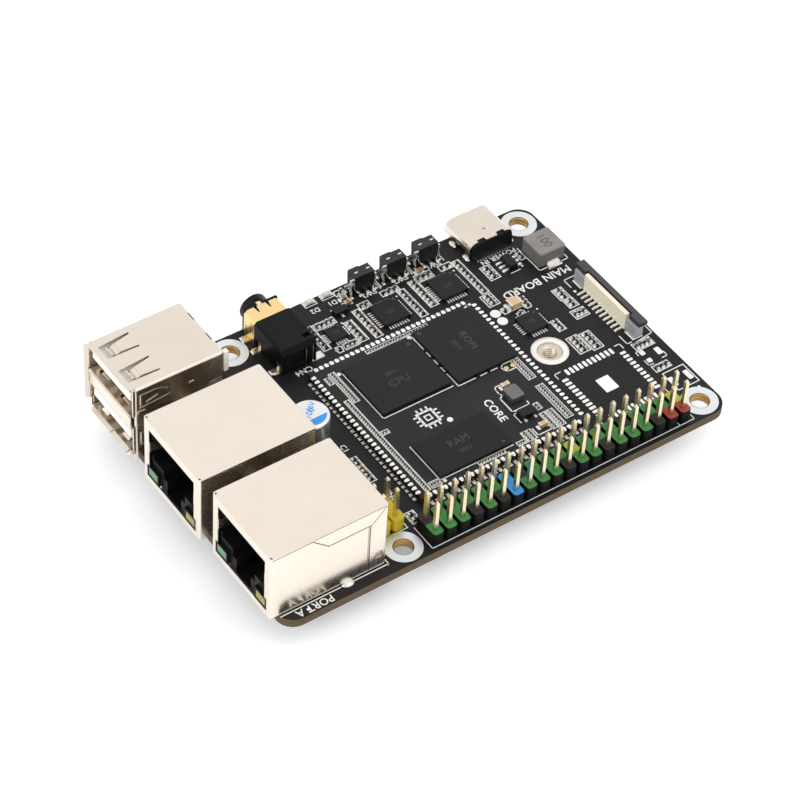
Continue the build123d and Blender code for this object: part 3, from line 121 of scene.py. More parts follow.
class Material:
    """A Principled material built from procedural nodes, all in object space."""

    def __init__(self, name):
        self.data = MAT[name] = bpy.data.materials.new(name)
        self.data.use_nodes = True
        self.tree = self.data.node_tree
        self.tree.nodes.clear()
        self.principled = self.node("ShaderNodeBsdfPrincipled")
        self.node("ShaderNodeOutputMaterial", {0: self.principled.outputs[0]})

    def node(self, kind, inputs=(), **properties):
        return add_node(self.tree, kind, inputs, **properties)

    def surface(self, inputs):
        for key, value in inputs.items():
            put(self.tree, self.principled.inputs[key], value)

    @cached_property
    def coords(self):
        return self.node("ShaderNodeTexCoord").outputs["Object"]

    @cached_property
    def true_normal(self):
        return self.node("ShaderNodeNewGeometry").outputs["True Normal"]

    def split(self, vector):
        return self.node("ShaderNodeSeparateXYZ", {0: vector}).outputs

    def calc(self, operation, first, second=None, clamp=False):
        inputs = {0: first} if second is None else {0: first, 1: second}
        return self.node("ShaderNodeMath", inputs, operation=operation,
                         use_clamp=clamp).outputs[0]

    def noise(self, scale, detail, stretch=None):
        where = self.coords
        if stretch:
            where = self.node("ShaderNodeMapping", {"Vector": where, "Scale": stretch}).outputs[0]
        return self.node("ShaderNodeTexNoise", {
            "Scale": scale, "Detail": detail, "Roughness": 0.55, "Vector": where}).outputs[0]

    def remap(self, value, source, target):
        return self.node("ShaderNodeMapRange", {
            "Value": value, "From Min": source[0], "From Max": source[1],
            "To Min": target[0], "To Max": target[1]}).outputs[0]

    def spread(self, noise, low, high):
        """Carry the middle band of a noise to low..high."""
        return self.remap(noise, (0.3, 0.7), (low, high))

    def mix(self, factor, first, second):
        return self.node("ShaderNodeMix", {0: factor, 6: first, 7: second},
                         data_type="RGBA").outputs[2]

    def tone(self, noise, colour, low, high):
        """One colour wandering between two gains."""
        return self.mix(self.spread(noise, 0, 1), rgba(colour, low), rgba(colour, high))

    def rounded(self, radius):
        return self.node("ShaderNodeBevel", {"Radius": radius}, samples=4).outputs[0]

    def bump(self, height, strength, distance, normal=None):
        inputs = {"Strength": strength, "Distance": distance, "Height": height}
        if normal is not None:
            inputs["Normal"] = normal
        return self.node("ShaderNodeBump", inputs).outputs[0]

    def relief(self, height, strength, distance, bevel, second=None):
        """Bump over a rounded-edge normal, with an optional second bump over that."""
        normal = self.rounded(bevel) if bevel else None
        normal = self.bump(height, strength, distance, normal)
        if second:
            normal = self.bump(normal=normal, **second)
        self.surface({"Normal": normal})

    def edge_mask(self):
        """1 near worn edges, 0 on flat faces."""
        facing = self.node("ShaderNodeVectorMath", {0: self.rounded(1.2e-4), 1: self.true_normal},
                           operation="DOT_PRODUCT").outputs["Value"]
        return self.calc("MULTIPLY", self.calc("SUBTRACT", 1.0, facing), 2.2, clamp=True)


# ---------------------------------------------------------------------------
# material families
# ---------------------------------------------------------------------------


def plastic(name, colour, rough, var, grain=6000, bump=0.25, bevel=8e-5, spec=0.4, wear=0.25,
            subsurface=0.0, side=1.0):
    """var is the colour variation, wear the lightening of edges, side the painted shade gain on
    walls.
    """
    m = Material(name)
    fine = m.noise(scale=grain, detail=2)
    base = m.tone(m.noise(scale=260, detail=3), colour, 1 - var, 1 + var)
    if wear > 0:
        patches = m.remap(m.noise(scale=2200, detail=3), source=(0.45, 0.75), target=(0, wear))
        light = [min(1, channel * 1.6 + 0.05) for channel in colour]
        base = m.mix(m.calc("MULTIPLY", m.edge_mask(), patches), base, rgba(light))
    # painted shade: walls are darkened towards black by the side gain; faces looking up keep their
    # colour
    if side != 1.0:
        up = m.remap(m.split(m.true_normal)[2], source=(0.2, 0.9), target=(0, 1))
        base = m.mix(up, m.mix(1.0 - side, base, (0, 0, 0, 1)), base)
    m.surface({"Base Color": base, "Roughness": m.spread(fine, rough - 0.07, rough + 0.09),
               "Specular IOR Level": spec})
    if subsurface:
        m.surface({"Subsurface Weight": subsurface, "Subsurface Scale": 1.0,
                   "Subsurface Radius": (0.0006, 0.0005, 0.0004)})
    m.relief(fine, strength=bump, distance=1.2e-5, bevel=bevel)


def metal(name, colour, rough, var, bump, bevel, tarnish, stretch=(1, 1, 1), metallic=1.0,
          painted_shade_reach=0.0):
    """stretch draws the grain out along an axis, crease the reach of painted shade in corners."""
    m = Material(name)
    fine = m.noise(scale=9000, detail=2, stretch=stretch)
    broad = m.noise(scale=130, detail=3)
    base = m.tone(broad, colour, 1 - var, 1 + var)
    dull = m.remap(m.noise(scale=900, detail=3, stretch=stretch), source=(0.55, 0.8),
                   target=(0, tarnish))
    base = m.mix(dull, base, (colour[0] * 0.72, colour[1] * 0.68, colour[2] * 0.6, 1))
    # painted shade: ambient occlusion darkens the colour to dark brown in corners and grooves
    if painted_shade_reach:
        occlusion = m.node("ShaderNodeAmbientOcclusion", {"Distance": painted_shade_reach}, samples=6,
                           only_local=True).outputs["AO"]
        shade = m.remap(occlusion, source=(0.45, 0.9), target=(0.06, 1.0))
        base = m.mix(shade, rgba((0.06, 0.045, 0.03)), base)
    fine_rough = m.spread(fine, rough - 0.05, rough + 0.07)
    broad_rough = m.remap(broad, source=(0.35, 0.7), target=(-0.02, 0.05))
    m.surface({"Base Color": base, "Metallic": metallic,
               "Roughness": m.calc("ADD", fine_rough, broad_rough)})
    m.relief(fine, strength=bump, distance=6e-6, bevel=bevel,
             second=dict(height=broad, strength=0.12, distance=4e-5))


def board_mask(name, face_colour, edge_colour):
    """Solder mask faces, laminate on every cut edge and hole wall."""
    m = Material(name)
    side = m.calc("LESS_THAN", m.calc("ABSOLUTE", m.split(m.true_normal)[2]), 0.5)
    fine = m.noise(scale=5200, detail=2)
    # routed copper under the mask: faint straight tracks in patches
    turned = m.node("ShaderNodeMapping", {
        "Vector": m.coords, "Rotation": (0, 0, math.radians(45))}).outputs[0]
    bricks = m.node("ShaderNodeTexBrick", {
        "Vector": turned, "Scale": 420, "Mortar Size": 0.06, "Brick Width": 3.2,
        "Row Height": 0.32, "Color1": (0, 0, 0, 1), "Color2": (0.1, 0.1, 0.1, 1),
        "Mortar": (1, 1, 1, 1)}).outputs["Fac"]
    patch = m.remap(m.noise(scale=150, detail=1), source=(0.5, 0.56), target=(0, 1))
    tracks = m.calc("MULTIPLY", bricks, patch)
    face = m.tone(m.noise(scale=90, detail=4), face_colour, 0.88, 1.15)
    face = m.mix(m.calc("MULTIPLY", tracks, 0.35), face, rgba(face_colour, 1.7))
    layers = m.noise(scale=900, detail=2, stretch=(0.12, 0.12, 9))
    laminate = m.tone(layers, edge_colour, 0.7, 1.45)
    rough = m.calc("ADD", m.spread(fine, 0.33, 0.47), m.calc("MULTIPLY", side, 0.3))
    m.surface({"Base Color": m.mix(side, face, laminate), "Roughness": rough,
               "Specular IOR Level": 0.2})
    m.relief(fine, strength=0.12, distance=1e-5, bevel=4e-5,
             second=dict(height=tracks, strength=0.25, distance=1.2e-5))


def lamp(name, colour):
    """Clear tinted moulding."""
    m = Material(name)
    m.surface({"Base Color": m.tone(m.noise(scale=500, detail=3), colour, 0.85, 1.1),
               "Roughness": m.spread(m.noise(scale=4000, detail=2), 0.14, 0.28),
               "Transmission Weight": 0.25, "IOR": 1.5})
    m.relief(m.noise(scale=3000, detail=2), strength=0.1, distance=1e-5, bevel=8e-5)


# header housing: black mouldings, the top of each pin's cell printed in a colour
TOP_COLOURS = {"k": (0.006, 0.006, 0.0065), "r": (0.37, 0.044, 0.020), "g": (0.045, 0.24, 0.052),
               "y": (0.46, 0.50, 0.045), "b": (0.035, 0.30, 0.72)}
OUTER_TOPS = "rrkgggkggkgggbkgkggg"     # from -X to +X
INNER_TOPS = "ygggkgggygggkbgggggk"


def header_tops():
    m = Material("header_tops")
    place = m.split(m.coords)
    length = HEADER_COLUMNS * PITCH * MM
    along = m.calc("DIVIDE", m.calc("ADD", place[0], length / 2), length)
    rows = []
    for code in (INNER_TOPS, OUTER_TOPS):
        ramp = m.node("ShaderNodeValToRGB", {0: along})
        ramp.color_ramp.interpolation = "CONSTANT"
        stops = ramp.color_ramp.elements
        for i, key in enumerate(code):
            position = i / HEADER_COLUMNS
            stop = stops[i] if i < 2 else stops.new(position)
            stop.position = position
            stop.color = rgba(TOP_COLOURS[key])
        rows.append(ramp.outputs[0])
    row = m.mix(m.calc("GREATER_THAN", place[1], HEADER_Y * MM), *rows)
    top = m.calc("MULTIPLY", m.calc("GREATER_THAN", m.split(m.true_normal)[2], 0.7),
                 m.calc("GREATER_THAN", place[2], 0.00405))
    worn = m.calc("MULTIPLY", top, m.remap(m.noise(scale=3200, detail=4), source=(0.25, 0.36),
                                           target=(0.55, 1.0)))
    dirt = m.spread(m.noise(scale=900, detail=4), 0.0, 0.22)
    printed = m.mix(dirt, row, rgba((0.02, 0.02, 0.02)))
    fine = m.noise(scale=6500, detail=2)
    m.surface({"Base Color": m.mix(worn, rgba(TOP_COLOURS["k"]), printed),
               "Roughness": m.spread(fine, 0.36, 0.52),
               "Specular IOR Level": m.remap(top, source=(0, 1), target=(0.06, 0.4))})
    m.relief(fine, strength=0.25, distance=1.2e-5, bevel=9e-5)


def castellation():
    """Bright flat lands; the walls of the half holes are plating painted dark brown, a painted
    reflection of the dark parts round them.
    """
    m = Material("castellation")
    up = m.calc("GREATER_THAN", m.split(m.true_normal)[2], 0.6)
    blotch = m.noise(scale=2600, detail=3)
    # painted reflection: the walls take a blotchy dark brown for the dark parts they reflect
    wall = m.mix(m.remap(blotch, source=(0.4, 0.7), target=(0, 1)),
                 (0.025, 0.018, 0.010, 1), (0.16, 0.11, 0.055, 1))
    m.surface({"Base Color": m.mix(up, wall, (0.95, 0.95, 0.93, 1)),
               "Metallic": m.remap(up, source=(0, 1), target=(1.0, 0.4)),
               "Roughness": m.spread(blotch, 0.28, 0.4)})
    m.relief(m.noise(scale=6000, detail=2), strength=0.15, distance=6e-6, bevel=3e-5)


# ---------------------------------------------------------------------------
# the materials
# ---------------------------------------------------------------------------
board_mask("board_mask", face_colour=(0.0122, 0.0115, 0.0118), edge_colour=(0.092, 0.064, 0.039))
board_mask("core_mask", face_colour=(0.0190, 0.0178, 0.0184), edge_colour=(0.030, 0.024, 0.018))

# name, colour, roughness, colour variation, bump strength, bevel radius (m), tarnish, the rest
# crease in the rest is the reach of painted shade in corners and grooves
METALS = [
    ("nickel_sheet", (0.885, 0.797, 0.690), 0.22, 0.02, 0.03, 1e-4, 0.02, dict(painted_shade_reach=3.2e-4)),
    ("nickel_usb", (0.82, 0.736, 0.637), 0.19, 0.02, 0.03, 1.2e-4, 0.03,
     dict(stretch=(0.15, 1, 1), painted_shade_reach=3.2e-4)),
    ("nickel_port", (0.785, 0.705, 0.610), 0.2, 0.02, 0.03, 1e-4, 0.02, dict(painted_shade_reach=3.2e-4)),
    ("tinned", (0.80, 0.79, 0.76), 0.24, 0.06, 0.12, 4e-5, 0.1, {}),
    ("silvered_frame", (0.78, 0.77, 0.70), 0.2, 0.05, 0.08, 4e-5, 0.1, dict(painted_shade_reach=2e-4)),
    ("gold_flash", (0.88, 0.76, 0.54), 0.26, 0.05, 0.05, 5e-5, 0.06, dict(stretch=(1, 1, 0.1))),
    ("gold_plate", (0.95, 0.70, 0.33), 0.22, 0.04, 0.05, 8e-5, 0.03, dict(painted_shade_reach=2e-4)),
    ("contact_gold", (0.83, 0.64, 0.33), 0.25, 0.05, 0.05, 4e-5, 0.06, {}),
    ("solder", (0.80, 0.79, 0.76), 0.2, 0.05, 0.2, 4e-5, 0.08, dict(metallic=0.95)),
    ("tinned_pad", (0.95, 0.94, 0.92), 0.38, 0.04, 0.15, 3e-5, 0.05, dict(metallic=0.55)),
    ("drawn_can", (0.86, 0.86, 0.87), 0.26, 0.03, 0.05, 8e-5, 0.03, dict(stretch=(1, 1, 0.2))),
    ("pad_ring", (0.80, 0.83, 0.85), 0.42, 0.03, 0.2, 4e-5, 0.04, {}),
    ("pad_ring_tinned", (0.90, 0.87, 0.83), 0.42, 0.03, 0.12, 4e-5, 0.04, dict(metallic=0.45)),
    # a darker copy of the nickel, painted shade for the vertical fold step on the network sockets
    ("step_painted_shade_metal", (0.50, 0.42, 0.33), 0.3, 0.05, 0.1, 4e-5, 0.05, {}),
    ("standoff_nickel", (0.68, 0.61, 0.51), 0.19, 0.02, 0.03, 1.2e-4, 0.02, {}),
    ("plated_barrel", (0.56, 0.35, 0.13), 0.4, 0.1, 0.1, 3e-5, 0.2, {}),
    ("tab_tin", (0.52, 0.52, 0.53), 0.4, 0.08, 0.12, 4e-5, 0.1,
     dict(stretch=(1, 0.2, 1), metallic=0.45)),
]
for *settings, rest in METALS:
    metal(*settings, **rest)

# name, colour, roughness, colour variation, the rest
# side in the rest darkens the walls as painted shade
EPOXY = dict(grain=9000, bump=0.4, bevel=6e-5, wear=0.1, side=0.3)
FLAT = dict(wear=0.0, bevel=0)
PLASTICS = [
    ("black_moulding", (0.0075, 0.0072, 0.0078), 0.42, 0.2, dict(spec=0.18, side=0.6)),
    ("black_audio", (0.0055, 0.0053, 0.0056), 0.4, 0.15, dict(spec=0.14, wear=0.1)),
    ("black_switch", (0.029, 0.028, 0.031), 0.42, 0.12, dict(spec=0.24, side=0.16, wear=0.12)),
    ("black_socket", (0.004, 0.004, 0.0045), 0.5, 0.2, dict(spec=0.15)),
    ("cream_moulding", (0.86, 0.775, 0.61), 0.5, 0.03, dict(wear=0.03, subsurface=0.05)),
    ("cream_usb", (0.86, 0.84, 0.78), 0.5, 0.03, dict(wear=0.03)),
    ("latch_grey", (0.058, 0.058, 0.064), 0.42, 0.1, dict(spec=0.3, side=0.5)),
    ("yellow_moulding", (0.62, 0.47, 0.015), 0.4, 0.07, dict(wear=0.1, subsurface=0.05)),
    ("chip_epoxy", (0.0132, 0.0126, 0.0132), 0.5, 0.08, dict(spec=0.22, **EPOXY)),
    ("chip_epoxy_memory", (0.0132, 0.0128, 0.0138), 0.5, 0.08, dict(spec=0.2, **EPOXY)),
    ("print_white", (0.83, 0.83, 0.81), 0.6, 0.05, dict(grain=7000, bump=0.3, spec=0.3, **FLAT)),
    ("laser_mark", (0.060, 0.058, 0.055), 0.6, 0.2, dict(grain=9000, bump=0.3, spec=0.2, **FLAT)),
    ("fold_shadow", (0.055, 0.043, 0.032), 0.6, 0.1, FLAT),
    ("ceramic_tan", (0.66, 0.44, 0.24), 0.4, 0.08, dict(wear=0.03)),
    ("ceramic_umber", (0.30, 0.165, 0.062), 0.4, 0.1, dict(wear=0.03, bevel=3e-5)),
    ("ceramic_olive", (0.060, 0.052, 0.036), 0.4, 0.25, dict(wear=0.05, bevel=3e-5, spec=0.3)),
    ("resistor_black", (0.008, 0.008, 0.009), 0.35, 0.12, dict(wear=0.05, bevel=3e-5, spec=0.3)),
    ("pressed_iron", (0.255, 0.232, 0.212), 0.55, 0.12,
     dict(grain=3500, bump=0.8, bevel=1.2e-4, spec=0.35, wear=0.2, side=0.6)),
    ("pressed_iron_mark", (0.115, 0.102, 0.092), 0.6, 0.15, FLAT),
    ("ferrite_grey", (0.145, 0.145, 0.145), 0.55, 0.1,
     dict(grain=4000, bump=0.5, bevel=1e-4, spec=0.3, wear=0.1, side=0.4)),
    ("print_blue", (0.04, 0.32, 0.85), 0.35, 0.05, FLAT),
    ("print_can_white", (0.86, 0.87, 0.86), 0.38, 0.02, FLAT),
]
for *settings, rest in PLASTICS:
    plastic(*settings, **rest)

lamp("lamp_green", (0.10, 0.29, 0.115))
lamp("lamp_yellow", (0.34, 0.28, 0.055))
lamp("lamp_white", (0.82, 0.80, 0.70))
header_tops()
castellation()

# ---------------------------------------------------------------------------
# mesh helpers
# ---------------------------------------------------------------------------


def link_object(name, data):
    obj = bpy.data.objects.new(name, data)
    bpy.context.scene.collection.objects.link(obj)
    return obj


def add_bevel(obj, width, segments, angle):
    """Round the edges sharper than an angle in degrees; width in mm."""
    bevel = obj.modifiers.new("bevel", "BEVEL")
    bevel.width = width * MM
    bevel.segments = segments
    bevel.limit_method = "ANGLE"
    bevel.angle_limit = math.radians(angle)


class Shape:
    """Gathers solids into one mesh. A span is (bottom z, top z); the shape's own is the default."""

    def __init__(self, span=None):
        self.verts, self.faces, self.span = [], [], span

    def add(self, verts, faces):
        first = len(self.verts)
        self.verts.extend(verts)
        self.faces.extend([tuple(i + first for i in face) for face in faces])

    def prism(self, points, span=None):
        z0, z1 = span or self.span
        n = len(points)
        area = sum(points[i][0] * points[(i + 1) % n][1] - points[(i + 1) % n][0] * points[i][1]
                   for i in range(n))
        if area < 0:
            points = points[::-1]
        verts = [(x, y, z) for z in (z0, z1) for x, y in points]
        faces = [tuple(range(n - 1, -1, -1)), tuple(range(n, 2 * n))]
        faces += [(i, (i + 1) % n, n + (i + 1) % n, n + i) for i in range(n)]
        self.add(verts, faces)

    def box(self, x0, x1, y0, y1, span=None):
        self.prism([(x0, y0), (x1, y0), (x1, y1), (x0, y1)], span)

    def cylinder(self, x, y, radius, sides, span=None):
        angles = [2 * math.pi * i / sides for i in range(sides)]
        self.prism([(x + radius * math.cos(a), y + radius * math.sin(a)) for a in angles], span)

    def ring(self, x, y, inner, outer, sides, span=None):
        z0, z1 = span or self.span
        verts, faces = [], []
        for i in range(sides):
            angle = math.radians(360.0 * i / sides)
            c, s = math.cos(angle), math.sin(angle)
            verts += [(x + r * c, y + r * s, z)
                      for r, z in ((inner, z0), (outer, z0), (outer, z1), (inner, z1))]
            here, there = 4 * i, 4 * ((i + 1) % sides)
            for j in range(4):
                k = (j + 1) % 4
                faces.append((there + j, there + k, here + k, here + j))
        self.add(verts, faces)

    def pill(self, x, y, length_x, length_y, corner=0.12):
        """Rectangle with clipped corners."""
        a, b = length_x / 2, length_y / 2
        c = min(corner, a * 0.9, b * 0.9)
        self.prism([(x - a + c, y - b), (x + a - c, y - b), (x + a, y - b + c),
                    (x + a, y + b - c), (x + a - c, y + b), (x - a + c, y + b),
                    (x - a, y + b - c), (x - a, y - b + c)])

    def line(self, start, end, width):
        """Straight stroke running half its width past both ends."""
        dx, dy = end[0] - start[0], end[1] - start[1]
        length = math.hypot(dx, dy)
        ux, uy = dx / length * width / 2, dy / length * width / 2
        ax, ay = start[0] - ux, start[1] - uy
        bx, by = end[0] + ux, end[1] + uy
        self.prism([(ax - uy, ay + ux), (ax + uy, ay - ux), (bx + uy, by - ux),
                    (bx - uy, by + ux)])

    def path(self, points, width):
        for start, end in zip(points, points[1:]):
            self.line(start, end, width)

    def corner(self, x, y, dx, dy, width):
        self.path([(x, y + dy), (x, y), (x + dx, y)], width)

    def frame(self, x0, x1, y0, y1, width):
        self.box(x0, x1, y0, y0 + width)
        self.box(x0, x1, y1 - width, y1)
        self.box(x0, x0 + width, y0 + width, y1 - width)
        self.box(x1 - width, x1, y0 + width, y1 - width)

    def dome(self, x, y, z, rx, ry, rz, rings, sides):
        """Half ellipsoid standing on z."""
        verts, faces = [], []
        for j in range(rings):
            lift = math.pi / 2 * j / rings
            for i in range(sides):
                a = 2 * math.pi * i / sides
                verts.append((x + rx * math.cos(lift) * math.cos(a),
                              y + ry * math.cos(lift) * math.sin(a), z + rz * math.sin(lift)))
        verts.append((x, y, z + rz))
        for j in range(rings - 1):
            for i in range(sides):
                k = (i + 1) % sides
                faces.append((j * sides + i, j * sides + k, (j + 1) * sides + k,
                              (j + 1) * sides + i))
        last = (rings - 1) * sides
        faces += [(last + i, last + (i + 1) % sides, rings * sides) for i in range(sides)]
        faces.append(tuple(range(sides - 1, -1, -1)))
        self.add(verts, faces)

    def lathe(self, x, y, profile, sides, closed=True):
        """Surface of revolution; profile is (radius, z), going round the outside upwards."""
        k = len(profile)
        verts, faces = [], []
        for i in range(sides):
            a = 2 * math.pi * i / sides
            verts += [(x + r * math.cos(a), y + r * math.sin(a), z) for r, z in profile]
            here, there = k * i, k * ((i + 1) % sides)
            for j in range(k if closed else k - 1):
                j2 = (j + 1) % k
                faces.append((here + j, there + j, there + j2, here + j2))
        if not closed:
            faces.append(tuple(k * i for i in range(sides - 1, -1, -1)))
            faces.append(tuple(k * i + k - 1 for i in range(sides)))
        self.add(verts, faces)

    def text(self, words, height, x, y, angle=0.0, bold=0.0, flip=False, span=None):
        """Solid lettering centred on (x, y); flip mirrors it for reading from below."""
        z0, z1 = span or self.span
        curve = bpy.data.curves.new("tmp", "FONT")
        curve.body = words
        curve.size = 1.0
        curve.align_x = "CENTER"
        curve.align_y = "CENTER"
        curve.extrude = 0.5
        curve.offset = bold
        curve.resolution_u = 2
        obj = link_object("tmp", curve)
        depsgraph = bpy.context.evaluated_depsgraph_get()
        mesh = bpy.data.meshes.new_from_object(obj.evaluated_get(depsgraph))
        scale = height / 0.72    # capitals are 0.72 of the font size
        c, s = math.cos(math.radians(angle)), math.sin(math.radians(angle))
        verts = []
        for vert in mesh.vertices:
            across, up, depth = vert.co
            across, up = across * scale, up * scale
            if flip:
                across = -across
            verts.append((x + across * c - up * s, y + across * s + up * c,
                          z0 + (depth + 0.5) * (z1 - z0)))
        faces = [tuple(p.vertices) for p in mesh.polygons]
        if flip:
            faces = [face[::-1] for face in faces]
        self.add(verts, faces)
        bpy.data.objects.remove(obj)
        bpy.data.meshes.remove(mesh)
        bpy.data.curves.remove(curve)

    def make(self, name, material, slot, replaces=None, smooth=False, bevel=0.0, segments=2):
        mesh = bpy.data.meshes.new(name)
        mesh.from_pydata([(x * MM, y * MM, z * MM) for x, y, z in self.verts], [], self.faces)
        mesh.update()
        obj = link_object(name, mesh)
        mesh.materials.append(MAT[material])
        if smooth:
            for polygon in mesh.polygons:
                polygon.use_smooth = True
        if bevel:
            add_bevel(obj, bevel, segments, angle=35)
        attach(obj, "board")
        if replaces:
            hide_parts(replaces)


def paint(node, material, bevel):
    """Give a CAD node its material and, if asked, softly rounded edges."""
    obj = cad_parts[node]
    obj.data.materials.clear()
    obj.data.materials.append(MAT[material])
    if bevel:
        weld = obj.modifiers.new("weld", "WELD")
        weld.merge_threshold = 2e-6
        add_bevel(obj, bevel, segments=2, angle=40)


def islands(node):
    """Bounding boxes in mm of a CAD node's separate solids."""
    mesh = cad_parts[node].data
    points = np.zeros(len(mesh.vertices) * 3, np.float32)
    mesh.vertices.foreach_get("co", points)
    points = points.reshape(-1, 3).astype(float) / MM
    places = {}
    welded = [places.setdefault(tuple(p), len(places)) for p in np.round(points, 4)]
    parent = list(range(len(places)))

    def find(a):
        while parent[a] != a:
            parent[a] = parent[parent[a]]
            a = parent[a]
        return a

    for polygon in mesh.polygons:
        first, *others = [welded[v] for v in polygon.vertices]
        for other in others:
            root_a, root_b = find(first), find(other)
            if root_a != root_b:
                parent[root_a] = root_b
    groups = {}
    for i, place in enumerate(welded):
        groups.setdefault(find(place), []).append(i)
    boxes = [(points[g].min(0), points[g].max(0)) for g in groups.values()]
    boxes.sort(key=lambda box: tuple(np.round(box[0], 3)))
    return boxes


def mirrored(centre, near, far):
    """The stretch near..far from a centre, first on its minus side, then on its plus side."""
    for s in (-1, 1):
        yield sorted((centre + s * near, centre + s * far))


# ---------------------------------------------------------------------------
# materials for the CAD nodes
# ---------------------------------------------------------------------------
# node, material, bevel width
FINISHES = [
    ("main_board", "board_mask", 0),
    ("core_board", "core_mask", 0),
    ("mounting_pads", "pad_ring", 0),
    ("card_standoff", "nickel_sheet", 0),
    ("header_housing", "header_tops", 0.06),
    ("header_pins", "gold_flash", 0),
    ("power_header_housing", "yellow_moulding", 0.06),
    ("power_header_pins", "gold_flash", 0),
    ("network_shields", "nickel_sheet", 0),
    ("network_inserts", "black_socket", 0),
    ("network_contacts", "contact_gold", 0),
    ("network_green_lamps", "lamp_green", 0.05),
    ("network_yellow_lamps", "lamp_yellow", 0.05),
    ("usb_shell", "nickel_usb", 0),
    ("usb_insulator", "cream_usb", 0),
    ("usb_contacts", "contact_gold", 0),
    ("usbc_shell", "nickel_port", 0),
    ("usbc_insert", "black_moulding", 0),
    ("usbc_contacts", "solder", 0),
    ("audio_body", "black_audio", 0.06),
    ("audio_sleeve", "gold_plate", 0.05),
    ("audio_contacts", "gold_flash", 0),
    ("cable_socket_housing", "cream_moulding", 0.05),
    ("cable_socket_latch", "latch_grey", 0.06),
    ("cable_socket_tabs", "tab_tin", 0.05),
    ("cable_socket_contacts", "tinned_pad", 0),
    ("switch_housings", "black_switch", 0.05),
    ("switch_frames", "silvered_frame", 0),
    ("boot_plunger", "black_switch", 0),
    ("reset_plunger", "black_switch", 0),
    ("modem_reset_plunger", "black_switch", 0),
    ("core_solder_joints", "castellation", 0),
    ("core_processor", "chip_epoxy", 0),
    ("core_memory", "chip_epoxy_memory", 0),
    ("core_storage", "chip_epoxy", 0),
    ("core_inductor", "ferrite_grey", 0.08),
    ("network_phy_chips", "chip_epoxy", 0),
    ("small_chips", "chip_epoxy", 0.05),
    ("chip_leads", "tinned_pad", 0),
    ("power_inductor", "pressed_iron", 0.08),
    ("power_inductor_terminals", "tinned", 0),
    ("can_capacitor", "drawn_can", 0),
    ("can_capacitor_base", "black_moulding", 0.08),
    ("can_capacitor_leads", "tinned", 0),
    ("status_lamps", "lamp_white", 0.04),
    ("card_socket_housing", "black_moulding", 0.08),
    ("card_socket_contacts", "contact_gold", 0),
    ("sim_socket_shell", "nickel_sheet", 0),
    ("sim_socket_base", "black_moulding", 0),
    ("sim_socket_contacts", "contact_gold", 0),
    ("memory_card_shell", "nickel_sheet", 0),
    ("memory_card_base", "black_moulding", 0),
    ("memory_card_contacts", "contact_gold", 0),
]
for node, material, bevel in FINISHES:
    paint(node, material, bevel)

# ---------------------------------------------------------------------------
# chip parts: ceramic bodies with tinned ends, lands and solder fillets
# ---------------------------------------------------------------------------
BROWN_CHIPS = [(-5.42, -16.1), (6.28, -17.3), (-30.2, 9.4), (25.2, 8.0)]
WEDGE_FACES = [(0, 1, 2), (3, 5, 4), (0, 3, 4, 1), (1, 4, 5, 2), (0, 2, 5, 3)]


def chips(node, label, material, end_share, surface, land):
    """Rebuild each solid of a node; land is how far the lands reach past the ends."""
    dark, brown, ends, lands = Shape(), Shape(), Shape(), Shape()
    for (x0, y0, z0), (x1, y1, z1) in islands(node):
        along_x = (x1 - x0) > (y1 - y0)
        off = min(math.hypot((x0 + x1) / 2 - x, (y0 + y1) / 2 - y) for x, y in BROWN_CHIPS)
        body = brown if off < 0.5 else dark
        start, stop, side0, side1 = (x0, x1, y0, y1) if along_x else (y0, y1, x0, x1)
        shift = rng.uniform(-0.025, 0.025)
        side0, side1 = side0 + shift, side1 + shift
        cap = (stop - start) * end_share
        inset = 0.02

        def block(shape, a0, a1, c0, c1, span):
            """Box given along and across the part."""
            shape.box(*((a0, a1, c0, c1) if along_x else (c0, c1, a0, a1)), span)

        block(body, start + cap * 0.8, stop - cap * 0.8, side0 + inset, side1 - inset,
              (z0 + 0.03, z1 - inset))
        for a0, a1 in ((start, start + cap), (stop - cap, stop)):
            block(ends, a0, a1, side0, side1, (z0 + 0.02, z1))
        for end, s in ((start, -1), (stop, 1)):
            block(lands, end - s * cap, end + s * land, side0 - 0.04, side1 + 0.04,
                  (surface, surface + 0.03))
            # solder fillet, a small wedge leaning on the end
            toe = end + s * land * 0.8
            low, high = surface + 0.02, z0 + (z1 - z0) * 0.7
            verts = [(a, c, z) for c in (side0, side1)
                     for a, z in ((end, low), (toe, low), (end, high))]
            faces = WEDGE_FACES
            if not along_x:
                verts = [(c, a, z) for a, c, z in verts]
                faces = [face[:1] + face[:0:-1] for face in faces]
            lands.add(verts, faces if s > 0 else [face[::-1] for face in faces])
    dark.make(label + "_bodies", material, slot=node, replaces=node, bevel=0.03, segments=1)
    if brown.verts:
        brown.make(label + "_bodies_brown", "ceramic_umber", slot=node, bevel=0.03, segments=1)
    ends.make(label + "_ends", "tinned", slot="chip_leads", bevel=0.03)
    lands.make(label + "_lands", "tinned_pad", slot="chip_leads")


for prefix, surface, land in (("board", BOARD_TOP, 0.22), ("core", CORE_TOP, 0.10)):
    chips(prefix + "_chip_capacitors", prefix + "_capacitor", "ceramic_olive", 0.25, surface, land)
    chips(prefix + "_chip_resistors", prefix + "_resistor", "resistor_black", 0.22, surface, land)

